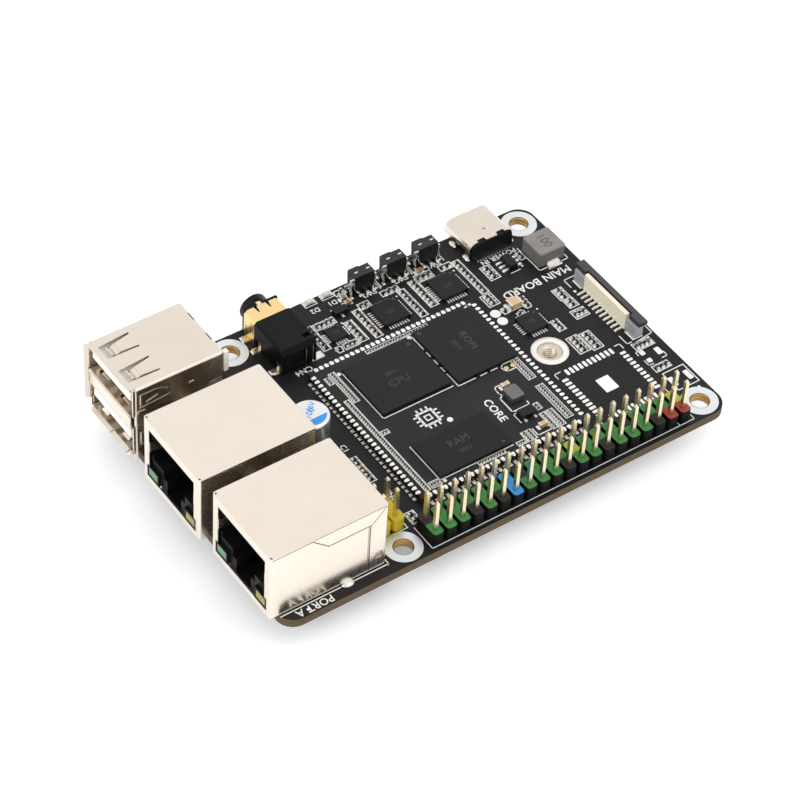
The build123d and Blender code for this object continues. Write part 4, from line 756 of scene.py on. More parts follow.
# larger multilayer capacitors, lying along X: umber or tan body, tinned ends
umber, tan, ends, lands = Shape(), Shape(), Shape(), Shape()
for (x0, y0, z0), (x1, y1, z1) in islands("ceramic_capacitors"):
    surface = CORE_TOP if z0 > 2.0 else BOARD_TOP
    cap = (0.16 if x1 - x0 > 2.0 else 0.2) * max(x1 - x0, y1 - y0)
    body = tan if x1 - x0 > 1.45 else umber
    body.box(x0 + cap * 0.8, x1 - cap * 0.8, y0 + 0.03, y1 - 0.03, (z0 + 0.03, z1 - 0.03))
    ends.box(x0, x0 + cap, y0, y1, (z0 + 0.02, z1))
    ends.box(x1 - cap, x1, y0, y1, (z0 + 0.02, z1))
    land_span = surface, surface + 0.03
    lands.box(x0 - 0.3, x0 + cap, y0 - 0.05, y1 + 0.05, land_span)
    lands.box(x1 - cap, x1 + 0.3, y0 - 0.05, y1 + 0.05, land_span)
umber.make("ceramic_capacitor_bodies", "ceramic_umber", slot="ceramic_capacitors",
           replaces="ceramic_capacitors", bevel=0.06)
tan.make("ceramic_capacitor_bodies_tan", "ceramic_tan", slot="ceramic_capacitors", bevel=0.06)
ends.make("ceramic_capacitor_ends", "tinned", slot="chip_leads", bevel=0.06)
lands.make("ceramic_capacitor_lands", "tinned_pad", slot="chip_leads")

# ---------------------------------------------------------------------------
# bare lands
# ---------------------------------------------------------------------------
lands = Shape(BOARD_LAND)
# empty radio footprint: four rows of eleven lands and one in the middle
RADIO_PITCH = 0.9
for i in range(11):
    y = 9.35 + RADIO_PITCH * i
    lands.pill(-25.15, y, 1.1, 0.55)
    lands.pill(-13.4, y, 1.2, 0.55)
    x = -23.75 + RADIO_PITCH * i
    lands.pill(x, 8.05, 0.55, 1.3)
    lands.pill(x, 19.7, 0.55, 1.1)
lands.pill(-18.7, 13.55, 2.5, 3.2, corner=0.1)
# x, y, length in x, length in y
SINGLE_LANDS = [
    (-30.4, 12.0, 1.0, 1.6), (-27.8, 13.0, 0.9, 0.9), (-27.8, 11.0, 0.9, 1.1),
    (-31.15, 18.85, 0.9, 2.1), (-28.1, 18.85, 0.8, 2.1), (25.1, -17.0, 1.2, 1.2),
    (25.1, -22.7, 1.2, 1.2), (25.1, -25.85, 1.1, 1.3), (17.5, -16.5, 2.4, 1.5),
    (17.6, -25.85, 1.1, 1.3), (-28.15, -13.2, 2.6, 0.6), (-28.15, -19.9, 2.6, 0.6),
    (-16.5, -9.0, 2.7, 1.9),
]
for place in SINGLE_LANDS:
    lands.pill(*place)
for x, y in ((-12.8, -7.0), (-12.8, -9.0)):
    lands.cylinder(x, y, 0.9, 32)
for x, y in ((-27.2, -6.3), (-30.9, 22.0), (48.0, 27.0), (-6.9, 22.85)):
    lands.cylinder(x, y, 0.28, 20)
lands.make("bare_lands", "tinned_pad", slot="mounting_pads")

test_lands = Shape(CORE_LAND)
for x in (-7.45, -6.15):
    test_lands.cylinder(x, 2.95, 0.42, 24)
test_lands.make("core_test_lands", "contact_gold", slot="audio_sleeve")

# plated walls of the four mounting holes
barrels = Shape((0.02, BOARD_TOP - 0.02))
for x in (HOLE_X, -HOLE_X):
    for y in (HOLE_Y, -HOLE_Y):
        barrels.ring(x, y, 1.575, 1.606, 64)
barrels.make("hole_barrels", "plated_barrel", slot="mounting_pads", smooth=True)

# ---------------------------------------------------------------------------
# painted shade at the folds on the sides of the network sockets: dark strips in the seams, darker
# brown strips at the fold steps
# ---------------------------------------------------------------------------


def wall_strip(shape, start, end, y, s, width):
    """Hair-thin strip between two (x, z) points on a wall facing +Y (s = 1) or -Y (s = -1)."""
    (x0, z0), (x1, z1) = start, end
    length = math.hypot(x1 - x0, z1 - z0)
    nx, nz = -(z1 - z0) / length * width / 2, (x1 - x0) / length * width / 2
    outline = [(x0 - nx, z0 - nz), (x1 - nx, z1 - nz), (x1 + nx, z1 + nz), (x0 + nx, z0 + nz)]
    verts = [(x, y + s * depth, z) for depth in (-0.03, 0.008) for x, z in outline]
    faces = [(0, 1, 2, 3), (7, 6, 5, 4), (0, 4, 5, 1), (1, 5, 6, 2), (2, 6, 7, 3), (3, 7, 4, 0)]
    shape.add(verts, faces if s > 0 else [face[::-1] for face in faces])


# painted shade: thin dark strips along the seam and groove lines, and darker brown metal strips up
# the vertical fold step, lying on the shield walls
seam_painted_shade, step_painted_shade = Shape(), Shape()
for front_x, middle_y in JACKS:
    rear_x = front_x - JACK_LENGTH
    seam_z = BOARD_TOP + JACK_HEIGHT - 0.11
    slot_z = BOARD_TOP + 10.58
    lip_x = rear_x + 3.62
    for s in (-1, 1):
        y = middle_y + s * JACK_WIDTH / 2
        wall_strip(seam_painted_shade, (rear_x + 13.7, seam_z), (rear_x + 0.7, seam_z), y, s, 0.12)
        wall_strip(seam_painted_shade, (rear_x + 10.9, slot_z), (rear_x + 3.3, slot_z), y, s, 0.16)
        wall_strip(step_painted_shade, (lip_x, BOARD_TOP + 1.2), (lip_x, BOARD_TOP + 10.35), y, s, 0.26)
seam_painted_shade.make("socket_seam_painted_shade", "fold_shadow", slot="network_shields")
step_painted_shade.make("socket_step_painted_shade", "step_painted_shade_metal", slot="network_shields")

# ---------------------------------------------------------------------------
# white print on the main board
# ---------------------------------------------------------------------------


def group_print(shape, groups, step, margin, width):
    """A frame round each group of chip parts, with a thin bar between neighbours."""
    for x0, x1, y0, y1 in groups:
        shape.frame(x0, x1, y0, y1, width)
        length_x, length_y = x1 - x0 - margin, y1 - y0 - margin
        upright = length_x <= length_y
        length = length_y if upright else length_x
        count = max(1, int(length / step + 0.35))
        for i in range(1, count):
            shift = (i - count / 2) * length / count
            if upright:
                y = (y0 + y1) / 2 + shift
                shape.box(x0 + 0.28, x1 - 0.28, y - width * 0.3, y + width * 0.3)
            else:
                x = (x0 + x1) / 2 + shift
                shape.box(x - width * 0.3, x + width * 0.3, y0 + 0.28, y1 - 0.28)


# x0, x1, y0, y1
BOARD_GROUPS = [
    (-30.3, -27.0, 14.3, 15.9), (-31.1, -27.3, 8.5, 10.4), (-23.6, -21.4, 2.1, 6.5),
    (-21.3, -19.0, 1.8, 6.0), (-20.8, -19.2, -2.8, 0.0), (-26.2, -23.4, -2.9, -0.7),
    (-26.0, -24.0, -5.5, -3.4), (-25.9, -23.8, -8.5, -5.6), (-19.0, -18.0, -10.1, -7.2),
    (-17.3, -15.7, -7.3, -6.3), (-15.0, -14.0, -9.5, -8.0), (-15.1, -12.8, -13.6, -10.6),
    (-15.2, -13.6, -22.9, -13.8), (-13.6, -11.0, -23.3, -21.8), (-9.6, -6.3, -23.5, -21.6),
    (-6.4, -4.6, -22.8, -15.8), (-3.5, -1.9, -22.0, -14.7), (-2.9, 0.7, -23.3, -22.0),
    (3.2, 5.5, -22.9, -21.3), (5.5, 7.1, -22.0, -14.7), (8.0, 9.8, -20.5, -15.2),
    (9.9, 12.7, -16.5, -15.0), (13.0, 14.1, -16.5, -15.0), (14.4, 16.0, -22.8, -16.6),
    (10.3, 14.3, -22.7, -21.1), (5.2, 7.2, -27.4, -26.0), (24.5, 26.0, 5.0, 11.0),
    (23.4, 25.2, 19.0, 21.6), (-18.9, -16.8, -19.2, -15.6), (-25.0, -24.0, -19.0, -17.0),
]
POWER_HEADER_FRAME = 26.1, 31.6, 16.1, 21.7

silk = Shape(BOARD_PRINT)
group_print(silk, BOARD_GROUPS, step=0.92, margin=0.3, width=0.17)
# header outline
silk.path([(-25.8, 26.1), (-25.8, 27.15), (25.4, 27.15), (25.4, 22.2)], 0.16)
silk.path([(-22.9, 27.15), (-22.9, 26.5)], 0.15)
# network and USB socket outlines
silk.path([(33.0, 26.2), (33.0, 26.05), (39.2, 26.05)], 0.2)
silk.path([(41.5, 26.05), (52.3, 26.05)], 0.2)
silk.path([(32.8, 9.6), (32.8, 25.9)], 0.18)
silk.path([(33.3, -9.2), (33.3, 7.2)], 0.18)
silk.path([(37.4, -25.6), (37.4, -12.3)], 0.18)
silk.frame(*POWER_HEADER_FRAME, 0.2)
# power inductor outline
silk.path([(-31.1, -13.4), (-25.2, -13.4), (-25.2, -19.7)], 0.2)
silk.path([(-31.1, -13.4), (-31.1, -14.4)], 0.2)
# bare two-land footprint
silk.frame(-31.95, -27.55, 16.5, 20.95, 0.18)
# corner marks: x, y, signed arm lengths in x and y
CORNERS = [
    # aerial
    (-31.0, 13.6, 1.0, -1.0), (-27.0, 13.9, -0.9, -1.2), (-26.9, 10.4, -0.9, 0.8),
    # radio footprint
    (-25.9, 7.4, 1.0, 1.1), (-12.6, 7.4, -1.2, 1.1), (-12.6, 20.5, -1.2, -1.1),
    (-25.9, 20.5, 1.0, -1.1),
]
for place in CORNERS:
    silk.corner(*place, 0.18)
# pin-one dots off the corner of each chip: middle x, y, half width
for x, y, half in ((-9.6, -18.2, 3.0), (2.0, -18.2, 3.0), (12.2, -18.8, 2.0), (-16.4, -3.9, 2.6)):
    silk.cylinder(x - half - 0.35, y - half + 0.2, 0.18, 16)
# cable socket outline
silk.path([(-27.9, 8.6), (-32.1, 8.1), (-32.1, 5.5)], 0.18)
silk.path([(-27.9, 8.1), (-27.0, 8.1), (-27.0, 6.0)], 0.18)
silk.path([(-32.1, -6.5), (-32.1, -9.4), (-27.2, -9.4), (-27.2, -7.4)], 0.18)
# can capacitor outline
silk.path([(26.1, -3.2), (26.1, -1.4)], 0.18)
silk.path([(26.1, 0.6), (26.1, 3.2), (32.0, 3.2)], 0.18)
silk.path([(26.1, -3.2), (27.2, -4.2), (32.2, -4.2)], 0.18)
for x in SWITCH_X:
    silk.path([(x - 2.9, -24.0), (x - 2.9, -26.6)], 0.16)
    silk.path([(x + 3.2, -24.2), (x + 3.2, -26.6)], 0.16)
for x in STATUS_LAMP_X:
    silk.frame(x - 1.2, x + 1.2, -27.9, -26.5, 0.14)
# six-lead chip
silk.path([(-22.6, -15.4), (-20.8, -15.4)], 0.16)
silk.cylinder(-23.4, -15.9, 0.2, 16)
# generic reference marks: words, height, x, y, angle
BOARD_WORDS = [
    ("SW1", 1.0, -10.8, -23.95, 0), ("SW2", 1.0, -4.2, -23.95, 0), ("SW3", 1.0, 2.1, -23.95, 0),
    ("D1", 1.0, 8.5, -25.35, 0), ("D2", 1.0, 11.9, -25.35, 0), ("CN4", 1.15, 21.1, -14.75, 0),
    ("POWER IN", 1.05, -21.3, -19.85, 0), ("MAIN BOARD", 1.6, -23.1, -11.5, 0),
    ("PORT A", 1.35, 46.8, 26.95, 0), ("CN6", 1.0, 24.6, 14.6, 90), ("C1", 1.0, 25.2, 2.8, 90),
    ("H1", 0.9, -25.2, 24.4, 90),
]
for words in BOARD_WORDS:
    silk.text(*words, bold=0.012)
silk.make("board_print", "print_white", slot="mounting_pads")

# ---------------------------------------------------------------------------
# white print on the core module
# ---------------------------------------------------------------------------
# x0, x1, y0, y1
CORE_GROUPS = [
    (-9.15, -7.6, 8.7, 17.1), (-9.15, -7.6, 1.95, 7.1), (-7.1, -5.75, 13.9, 17.9),
    (-5.65, -4.45, 13.9, 17.9), (-5.9, -4.5, 11.6, 13.2), (-1.4, 0.6, 15.7, 18.0),
    (0.7, 2.4, 17.0, 18.0), (4.7, 10.0, 17.1, 18.0), (17.0, 19.0, 16.6, 18.0),
    (19.2, 20.3, -4.8, 18.0), (17.8, 19.1, -11.1, -3.6), (19.25, 20.2, -10.6, -8.8),
    (-1.1, 11.1, -12.3, -11.45), (17.7, 19.1, 3.7, 4.7),
]
core_silk = Shape(CORE_PRINT)
group_print(core_silk, CORE_GROUPS, step=0.56, margin=0.2, width=0.14)
core_silk.path([(3.5, 1.65), (16.95, 1.65), (16.95, -9.95)], 0.2)
core_silk.path([(2.95, 17.15), (16.95, 17.15), (16.95, 8.95)], 0.2)
# broken lines
for x0, x1 in ((-4.9, -3.75), (-2.8, -1.65), (-0.6, 2.65)):
    core_silk.path([(x0, 2.12), (x1, 2.12)], 0.22)
for y0, y1 in ((2.12, -1.0), (-1.75, -2.7), (-3.7, -4.7), (-5.75, -6.75), (-7.7, -10.8)):
    core_silk.path([(2.72, y0), (2.72, y1)], 0.22)
# dots: x, y, radius, sides
for dot in ((3.15, -11.0, 0.4, 24), (17.45, -10.2, 0.36, 24), (8.15, 7.4, 0.5, 28),
            (16.4, 17.6, 0.32, 24)):
    core_silk.cylinder(*dot)
core_silk.path([(-8.6, -11.75), (-9.2, -12.1), (-9.7, -12.1)], 0.45)
# inductor and regulator outlines
core_silk.path([(-4.6, 11.35), (-1.25, 11.35), (-1.25, 8.0), (-2.0, 7.5)], 0.22)
core_silk.path([(-4.6, 11.35), (-4.6, 10.7)], 0.22)
core_silk.path([(-4.6, 5.45), (-2.0, 5.45), (-1.75, 6.2), (-1.75, 7.0), (-2.0, 7.5)], 0.2)
core_silk.path([(-4.9, 11.9), (-1.0, 11.9), (-1.0, 14.0)], 0.16)
core_silk.path([(-4.45, 15.6), (-4.45, 17.6), (-1.7, 17.6), (-1.7, 16.0)], 0.2)
core_silk.path([(-9.1, 1.95), (-6.1, 1.95), (-5.55, 2.4), (-5.55, 3.1), (-6.1, 3.65),
                (-7.5, 3.65)], 0.2)
core_silk.text("CORE", 1.45, 0.95, 9.6, angle=90, bold=0.02)
# generic chip symbol: two square frames with three legs on each side
SYMBOL_X, SYMBOL_Y = 10.8, 5.2
SYMBOL_HALF, SYMBOL_INNER_HALF, SYMBOL_LEG = 1.55, 0.62, 0.55
for half, width in ((SYMBOL_HALF, 0.38), (SYMBOL_INNER_HALF, 0.24)):
    core_silk.frame(SYMBOL_X - half, SYMBOL_X + half, SYMBOL_Y - half, SYMBOL_Y + half, width)
for shift in (-0.9, 0.0, 0.9):
    for s in (1, -1):
        x, y = SYMBOL_X + shift, SYMBOL_Y + s * SYMBOL_HALF
        core_silk.path([(x, y), (x, y + s * SYMBOL_LEG)], 0.3)
    for s in (1, -1):
        x, y = SYMBOL_X + s * SYMBOL_HALF, SYMBOL_Y + shift
        core_silk.path([(x, y), (x + s * SYMBOL_LEG, y)], 0.3)
core_silk.make("core_print", "print_white", slot="mounting_pads")

# ---------------------------------------------------------------------------
# faint laser marks on the packages
# ---------------------------------------------------------------------------
# pin-one discs: x, y, radius, package top
PACKAGE_DOTS = [
    (4.5, -9.4, 0.35, 3.48), (1.7, -10.4, 0.32, 3.48), (4.1, 16.1, 0.3, 3.4),
    (-11.6, -20.2, 0.28, 2.45), (0.0, -20.2, 0.28, 2.45), (11.1, -19.9, 0.2, 2.35),
    (-17.9, -5.4, 0.25, 2.4),
]
dots = Shape()
for x, y, radius, z in PACKAGE_DOTS:
    dots.cylinder(x, y, radius, 24, (z - 0.003, z + 0.004))
dots.make("package_dots", "laser_mark", slot="core_memory")

# words, height, x, y, package top, angle; most read from the header side
PACKAGE_WORDS = [
    ("CPU", 1.5, 10.4, -3.4, 3.48, 180), ("0001", 0.85, 10.4, -5.6, 3.48, 180),
    ("RAM", 1.4, 10.0, 12.2, 3.4, 180), ("0002", 0.85, 10.0, 14.3, 3.4, 180),
    ("ROM", 1.4, -4.2, -5.0, 3.48, 90), ("0003", 0.85, -2.0, -5.0, 3.48, 90),
    ("U2", 0.9, -9.6, -18.0, 2.45, 180), ("U3", 0.9, 2.0, -18.0, 2.45, 180),
    ("U4", 0.7, 12.2, -18.8, 2.35, 180), ("U5", 0.8, -16.4, -3.9, 2.4, 180),
]
marks = Shape()
for words, height, x, y, z, angle in PACKAGE_WORDS:
    marks.text(words, height, x, y, angle, span=(z - 0.003, z + 0.003))
marks.make("package_marks", "laser_mark", slot="core_memory")

# ---------------------------------------------------------------------------
# threaded card standoff
# ---------------------------------------------------------------------------
THREAD_PITCH, THREAD_CREST, THREAD_ROOT = 0.45, 1.04, 1.23   # pitch, then two radii
STANDOFF_BOTTOM, STANDOFF_TOP = -2.5, 1.35
STANDOFF_SIDES = 48
THREAD_STEP = 0.045          # height of one row of faces in the thread
# outer wall as (radius, z): flange under the board, neck in the board, flat rims
STANDOFF_WALL = [
    (2.55, STANDOFF_BOTTOM), (2.75, STANDOFF_BOTTOM + 0.2), (2.75, -0.12), (2.66, -0.02),
    (2.1, -0.02), (2.1, STANDOFF_TOP - 0.12), (1.98, STANDOFF_TOP),
]


def thread_radius(z, turn):
    """Radius of the bore at a height, turn being the share of a full circle."""
    wave = abs(((z / THREAD_PITCH - turn) % 1.0) * 2 - 1)
    depth = min(1.0, max(0.0, wave * 1.35 - 0.15))
    radius = THREAD_CREST + (THREAD_ROOT - THREAD_CREST) * depth
    to_end = min(z - STANDOFF_BOTTOM, STANDOFF_TOP - z)
    if to_end < 0.22:
        radius = max(radius, THREAD_ROOT + 0.12 - to_end * 0.9)
    if STANDOFF_TOP - z < 0.2:
        # wide lead-in chamfer at the top
        radius = max(radius, 1.5 - (STANDOFF_TOP - z) * 1.8)
    return radius


def build_standoff():
    n = STANDOFF_SIDES
    verts, faces = [], []

    def add_point(radius, z, i):
        a = 2 * math.pi * i / n
        verts.append((STANDOFF_X + radius * math.cos(a), STANDOFF_Y + radius * math.sin(a), z))

    height = STANDOFF_TOP - STANDOFF_BOTTOM
    levels = int(round(height / THREAD_STEP))
    for level in range(levels + 1):
        z = STANDOFF_BOTTOM + height * level / levels
        for i in range(n):
            add_point(thread_radius(z, i / n), z, i)
    for level in range(levels):
        for i in range(n):
            a, b = level * n + i, level * n + (i + 1) % n
            faces.append((a, a + n, b + n, b))
    wall = len(verts)
    for radius, z in STANDOFF_WALL:
        for i in range(n):
            add_point(radius, z, i)
    for j in range(len(STANDOFF_WALL) - 1):
        for i in range(n):
            a, b = wall + j * n + i, wall + j * n + (i + 1) % n
            faces.append((a, b, b + n, a + n))
    bore_rim, wall_rim = levels * n, wall + (len(STANDOFF_WALL) - 1) * n
    for i in range(n):
        k = (i + 1) % n
        faces.append((bore_rim + i, wall_rim + i, wall_rim + k, bore_rim + k))
        faces.append((i, k, wall + k, wall + i))
    standoff = Shape()
    standoff.add(verts, faces)
    standoff.make("card_standoff_threaded", "standoff_nickel", slot="card_standoff",
                  replaces="card_standoff")


build_standoff()
# solder between standoff and plated ring, as (radius, z)
STANDOFF_SOLDER = [
    (2.11, 0.9), (2.19, 0.9), (2.24, 1.5), (2.5, 1.625), (3.17, 1.6), (3.15, 1.645),
    (2.6, 1.675), (2.3, 1.668), (2.19, 1.64), (2.13, 1.5), (2.11, 1.25),
]
collar = Shape()
collar.lathe(STANDOFF_X, STANDOFF_Y, STANDOFF_SOLDER, 64)
collar.make("card_standoff_solder", "pad_ring_tinned", slot="mounting_pads", smooth=True)

# ---------------------------------------------------------------------------
# solder at the through-hole pins and legs
# ---------------------------------------------------------------------------
header_pins = [((i - 9.5) * PITCH, HEADER_Y + s * PITCH / 2)
               for i in range(HEADER_COLUMNS) for s in (-1, 1)]
header_pins += [(POWER_HEADER[0] + sx * PITCH / 2, POWER_HEADER[1] + sy * PITCH / 2)
                for sx in (-1, 1) for sy in (-1, 1)]
jack_pins, jack_legs = [], []    # legs are (x, y, side)
for front_x, middle_y in JACKS:
    # eight staggered pins, then four nearer the open face
    jack_pins += [(front_x - 18.2 + PITCH * (i % 2), middle_y + (i - 3.5) * PITCH / 2)
                  for i in range(8)]
    jack_pins += [(front_x - 5.6, middle_y + shift) for shift in (-6.468, -4.018, 4.018, 6.468)]
    jack_legs += [(front_x - 14.1, middle_y + s * 7.95, s) for s in (-1, 1)]
usb_pins = [(USB_REAR_X + 2.2 + 2.6 * row, USB_Y + shift)
            for row in (0, 1) for shift in (-3.5, -1.0, 1.0, 3.5)]
usb_legs = [(x, USB_Y + s * (USB_WIDTH / 2 - 0.15), s) for x in (40.9, 49.6) for s in (-1, 1)]

cones = Shape()


def cone(x, y, radius, height, tip, sides=20):
    """Solder cone hanging below the board; tip is the radius at its end."""
    stretch = 1.0 + rng.uniform(-0.06, 0.06)
    profile = [(tip, -height * stretch), (tip * 1.15, -height * stretch * 0.72),
               (radius * 0.62, -height * stretch * 0.34), (radius * 0.9, -0.1),
               (radius, -0.03), (radius, 0.0)]
    cones.lathe(x, y, profile, sides, closed=False)


for x, y in header_pins:
    cone(x, y, radius=0.82, height=1.15, tip=0.40)
for x, y in jack_pins:
    cone(x, y, radius=0.68, height=0.95, tip=0.30)
for x, y in usb_pins:
    cone(x, y, radius=0.72, height=1.05, tip=0.32)
for x, y, s in jack_legs:
    cone(x, y - s * 0.15, radius=1.25, height=0.85, tip=0.62, sides=28)
for x, y, s in usb_legs:
    cone(x, y, radius=1.45, height=0.95, tip=0.8, sides=28)
for s in (-1, 1):
    x = USBC_X + s * 4.35
    for y in USBC_LEG_Y:
        cones.box(x - 0.55, x + 0.55, y - 1.0, y + 1.0, (-0.14, 0.0))
cones.make("underside_solder", "solder", slot="chip_leads", smooth=True)

# leg joints on the component side
legs = Shape()
DOME_BASE = BOARD_TOP - 0.02
for x, y, s in jack_legs:
    legs.dome(x, y + s * 0.15, DOME_BASE, 1.15, 0.85, 0.42, rings=6, sides=24)
for x, y, s in usb_legs:
    legs.dome(x, y + s * 0.35, DOME_BASE, 1.2, 0.8, 0.35, rings=6, sides=24)
for s in (-1, 1):
    for y in USBC_LEG_Y:
        legs.dome(USBC_X + s * 4.45, y, DOME_BASE, 0.55, 0.95, 0.28, rings=5, sides=20)
legs.make("leg_solder", "solder", slot="chip_leads", smooth=True)

# ---------------------------------------------------------------------------
# solder pillows at the connector and package leads
# ---------------------------------------------------------------------------
pillows = Shape()


def pillow(x0, x1, y0, y1, height):
    """Low pillow of solder over a lead foot."""
    inset_x, inset_y = min((x1 - x0) * 0.22, 0.18), min((y1 - y0) * 0.22, 0.18)
    verts = []
    for dx, dy, z in ((0, 0, BOARD_TOP), (inset_x, inset_y, BOARD_TOP + height)):
        verts += [(x0 + dx, y0 + dy, z), (x1 - dx, y0 + dy, z), (x1 - dx, y1 - dy, z),
                  (x0 + dx, y1 - dy, z)]
    faces = [(0, 3, 2, 1), (4, 5, 6, 7), (0, 1, 5, 4), (1, 2, 6, 5), (2, 3, 7, 6), (3, 0, 4, 7)]
    pillows.add(verts, faces)


# cable socket: two staggered rows, then the end tabs
for i in range(11):
    y = 4.6 - i
    pillow(-28.35, -27.0, y - 0.24, y + 0.24, 0.13)
    pillow(-32.35, -31.5, y - 0.5 - 0.24, y - 0.5 + 0.24, 0.12)
for y0, y1 in mirrored(CABLE_SOCKET_Y, 5.9, 8.3):
    pillow(-30.4, -28.3, y0, y1, 0.1)
# USB-C contacts
for i in range(14):
    x = USBC_X - 3.25 + 0.5 * i
    pillow(x - 0.15, x + 0.15, -21.0, -20.5, 0.08)
for switch_x in SWITCH_X:
    for x in (switch_x - 2.25, switch_x + 2.5):
        for y in (-26.4, -24.6):
            pillow(x - 0.32, x + 0.32, y - 0.36, y + 0.36, 0.24)
    for shift in (-1.8, -0.55, 0.85):
        pillow(switch_x + shift - 0.34, switch_x + shift + 0.34, -24.5, -24.02, 0.15)
# audio socket: x0, x1, y0, y1
for foot in ((25.0, 26.0, -26.6, -25.1), (16.8, 17.8, -26.6, -25.1), (25.0, 26.1, -17.75, -16.65),
             (25.0, 26.1, -23.15, -22.05), (16.3, 18.0, -17.25, -15.75)):
    pillow(*foot, 0.22)
# can capacitor and power inductor: each takes its minus side, then its plus side
for (x0, x1), (y0, y1) in zip(mirrored(CAN_X, 3.0, 4.0), mirrored(INDUCTOR_Y, 2.7, 3.75)):
    pillow(x0, x1, CAN_Y - 0.75, CAN_Y + 0.75, 0.16)
    pillow(-29.6, -26.7, y0, y1, 0.3)
for shift in (-0.95, 0, 0.95):
    y = SIX_LEAD_Y + shift
    for x0, x1 in mirrored(SIX_LEAD_X, 1.35, 2.0):
        pillow(x0, x1, y - 0.28, y + 0.28, 0.16)
for lamp_x in STATUS_LAMP_X:
    for x0, x1 in mirrored(lamp_x, 0.62, 1.12):
        pillow(x0, x1, -27.8, -26.9, 0.22)
pillows.make("lead_solder", "solder", slot="chip_leads", bevel=0.02, segments=1)

# ---------------------------------------------------------------------------
# print on the can capacitor and the power inductor
# ---------------------------------------------------------------------------
can_print = Shape((CAN_TOP - 0.02, CAN_TOP + 0.012))
can_print.cylinder(CAN_X, CAN_Y, 2.68, 64)
can_print.make("can_top_print", "print_can_white", slot="can_capacitor")

# blue segment on the +Y side, cut off by a chord
SEGMENT_RADIUS, CHORD_Y = 2.6, 1.15
chord_angle = math.asin(CHORD_Y / SEGMENT_RADIUS)
segment = []
for i in range(25):
    a = chord_angle + (math.pi - 2 * chord_angle) * i / 24
    segment.append((CAN_X + SEGMENT_RADIUS * math.cos(a), CAN_Y + SEGMENT_RADIUS * math.sin(a)))
can_marks = Shape((CAN_TOP + 0.008, CAN_TOP + 0.02))
can_marks.prism(segment, (CAN_TOP + 0.008, CAN_TOP + 0.022))
can_marks.text("100", 1.15, CAN_X + 0.1, CAN_Y - 0.05, angle=218, bold=0.01)
can_marks.text("16V", 1.0, CAN_X - 0.85, CAN_Y - 1.15, angle=218, bold=0.01)
can_marks.make("can_top_marks", "print_blue", slot="can_capacitor")

inductor_mark = Shape((INDUCTOR_TOP - 0.003, INDUCTOR_TOP + 0.006))
inductor_mark.text("100", 1.6, INDUCTOR_X, INDUCTOR_Y, angle=90, bold=0.015)
inductor_mark.make("inductor_mark", "pressed_iron_mark", slot="power_inductor")

# ---------------------------------------------------------------------------
# underside print and lands
# ---------------------------------------------------------------------------
under_silk = Shape((-0.022, 0.005))
under_silk.frame(-25.7, 25.7, 21.9, 27.1, 0.2)
for outline in ((-32.5, -17.6, 8.8, 22.4), (-8.5, 6.5, -20.5, -5.7), (26.7, 34.5, -8.9, 14.2),
                POWER_HEADER_FRAME):
    under_silk.frame(*outline, 0.18)
under_silk.ring(STANDOFF_X, STANDOFF_Y, 3.35, 3.55, 64)
# words, height, x, y
for words in (("CN7", 1.3, -4.0, -4.6), ("CN8", 1.3, -28.0, 7.6), ("CN9", 1.3, 24.6, 15.4),
              ("BOTTOM", 1.8, 12.0, -2.0)):
    under_silk.text(*words, angle=180, bold=0.01, flip=True)
under_silk.make("underside_print", "print_white", slot="mounting_pads")

under_lands = Shape((-0.03, 0.005))
for x in (14.0, 18.0):
    for y in (6.0, 9.0, 12.0):
        under_lands.cylinder(x, y, 0.65, 28)
for i in range(6):
    x = -2.0 + 2.0 * i
    under_lands.box(x - 0.45, x + 0.45, 16.2, 17.5)
under_lands.make("underside_lands", "solder", slot="mounting_pads")

# ---------------------------------------------------------------------------
# floor, light, camera, in metres
# ---------------------------------------------------------------------------
FLOOR_HALF = 4.0
FLOOR_GAP = 0.0002           # below the lowest point of the board


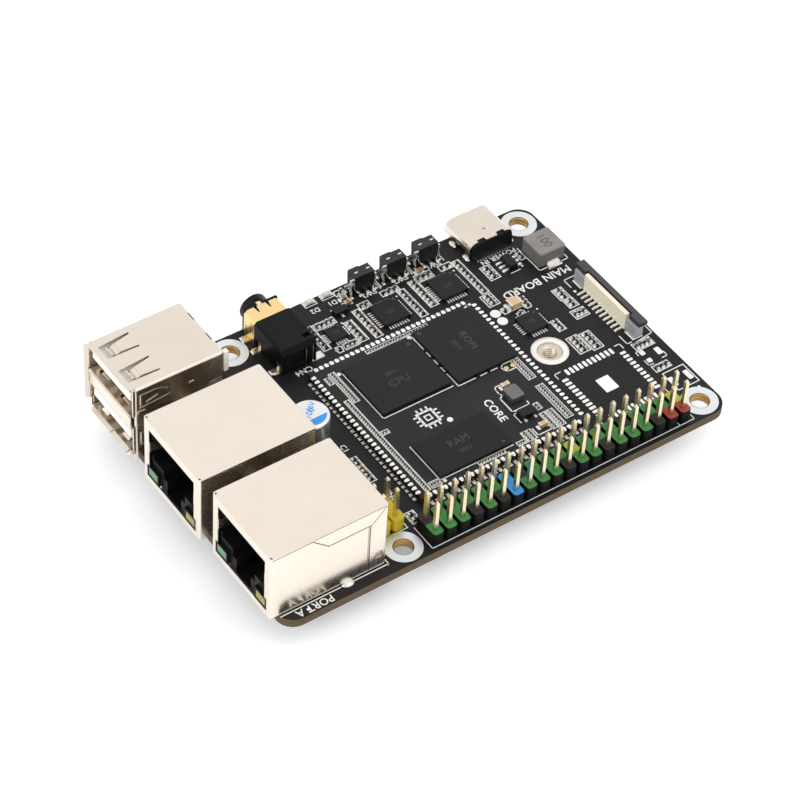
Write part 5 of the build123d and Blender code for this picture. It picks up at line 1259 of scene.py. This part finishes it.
def build_floor():
    m = Material("pale_floor")
    shade = m.spread(m.noise(scale=14, detail=3), 0, 1)
    m.surface({"Base Color": m.mix(shade, (0.90, 0.90, 0.90, 1), (0.93, 0.93, 0.93, 1)),
               "Roughness": 0.6, "Specular IOR Level": 0.1,
               "Emission Color": (0.97, 0.985, 1.0, 1), "Emission Strength": 0.23})
    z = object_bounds()[0].z - FLOOR_GAP
    half = FLOOR_HALF
    mesh = bpy.data.meshes.new("floor")
    mesh.from_pydata([(-half, -half, z), (half, -half, z), (half, half, z), (-half, half, z)],
                     [], [(0, 1, 2, 3)])
    floor = link_object("floor", mesh)
    mesh.materials.append(m.data)


def build_world():
    """White sky; the strength ramp over height has both ends at 1."""
    world = bpy.data.worlds.new("soft_sky")
    bpy.context.scene.world = world
    world.use_nodes = True
    tree = world.node_tree
    tree.nodes.clear()
    direction = add_node(tree, "ShaderNodeTexCoord").outputs["Generated"]
    height = add_node(tree, "ShaderNodeSeparateXYZ", {0: direction}).outputs["Z"]
    strength = add_node(tree, "ShaderNodeMapRange", {
        "Value": height, "From Min": -0.1, "From Max": 0.9, "To Min": 1.0, "To Max": 1.0})
    sky = add_node(tree, "ShaderNodeBackground", {
        "Color": (1, 1, 1, 1), "Strength": strength.outputs[0]})
    add_node(tree, "ShaderNodeOutputWorld", {0: sky.outputs[0]})


def soft_light(name, location, size, power, colour=(1, 1, 1)):
    """Square area light aimed at the board."""
    light = bpy.data.lights.new(name, "AREA")
    light.shape = "RECTANGLE"
    light.size = light.size_y = size
    light.energy = power
    light.color = colour
    obj = link_object(name, light)
    obj.location = location
    obj.rotation_mode = "QUATERNION"
    aim = Vector((0.01, 0, 0)) - Vector(location)
    obj.rotation_quaternion = aim.to_track_quat("-Z", "Y")


def build_camera():
    """Looks down at the board from its +X, +Y corner."""
    camera = bpy.data.cameras.new("camera")
    obj = link_object("camera", camera)
    camera.sensor_width = 36
    camera.lens = 134.57
    camera.clip_start = 0.02
    camera.clip_end = 20
    right = (-0.81984185, 0.57047702, 0.04914577)
    up = (-0.3836484, -0.61100122, 0.69245319)
    backward = (0.42505675, 0.54884741, 0.71978697)
    pose = Matrix((right, up, backward)).transposed().to_4x4()
    pose.translation = (0.214312, 0.260354, 0.344685)
    obj.matrix_world = pose
    bpy.context.scene.camera = obj


build_floor()
build_world()
soft_light("key", location=(-0.25, 0.35, 0.75), size=0.7, power=0.62)
soft_light("fill", location=(0.8, 0.05, 0.38), size=0.6, power=2.4, colour=(0.96, 0.98, 1.0))
build_camera()
bpy.context.scene.view_settings.view_transform = "Standard"
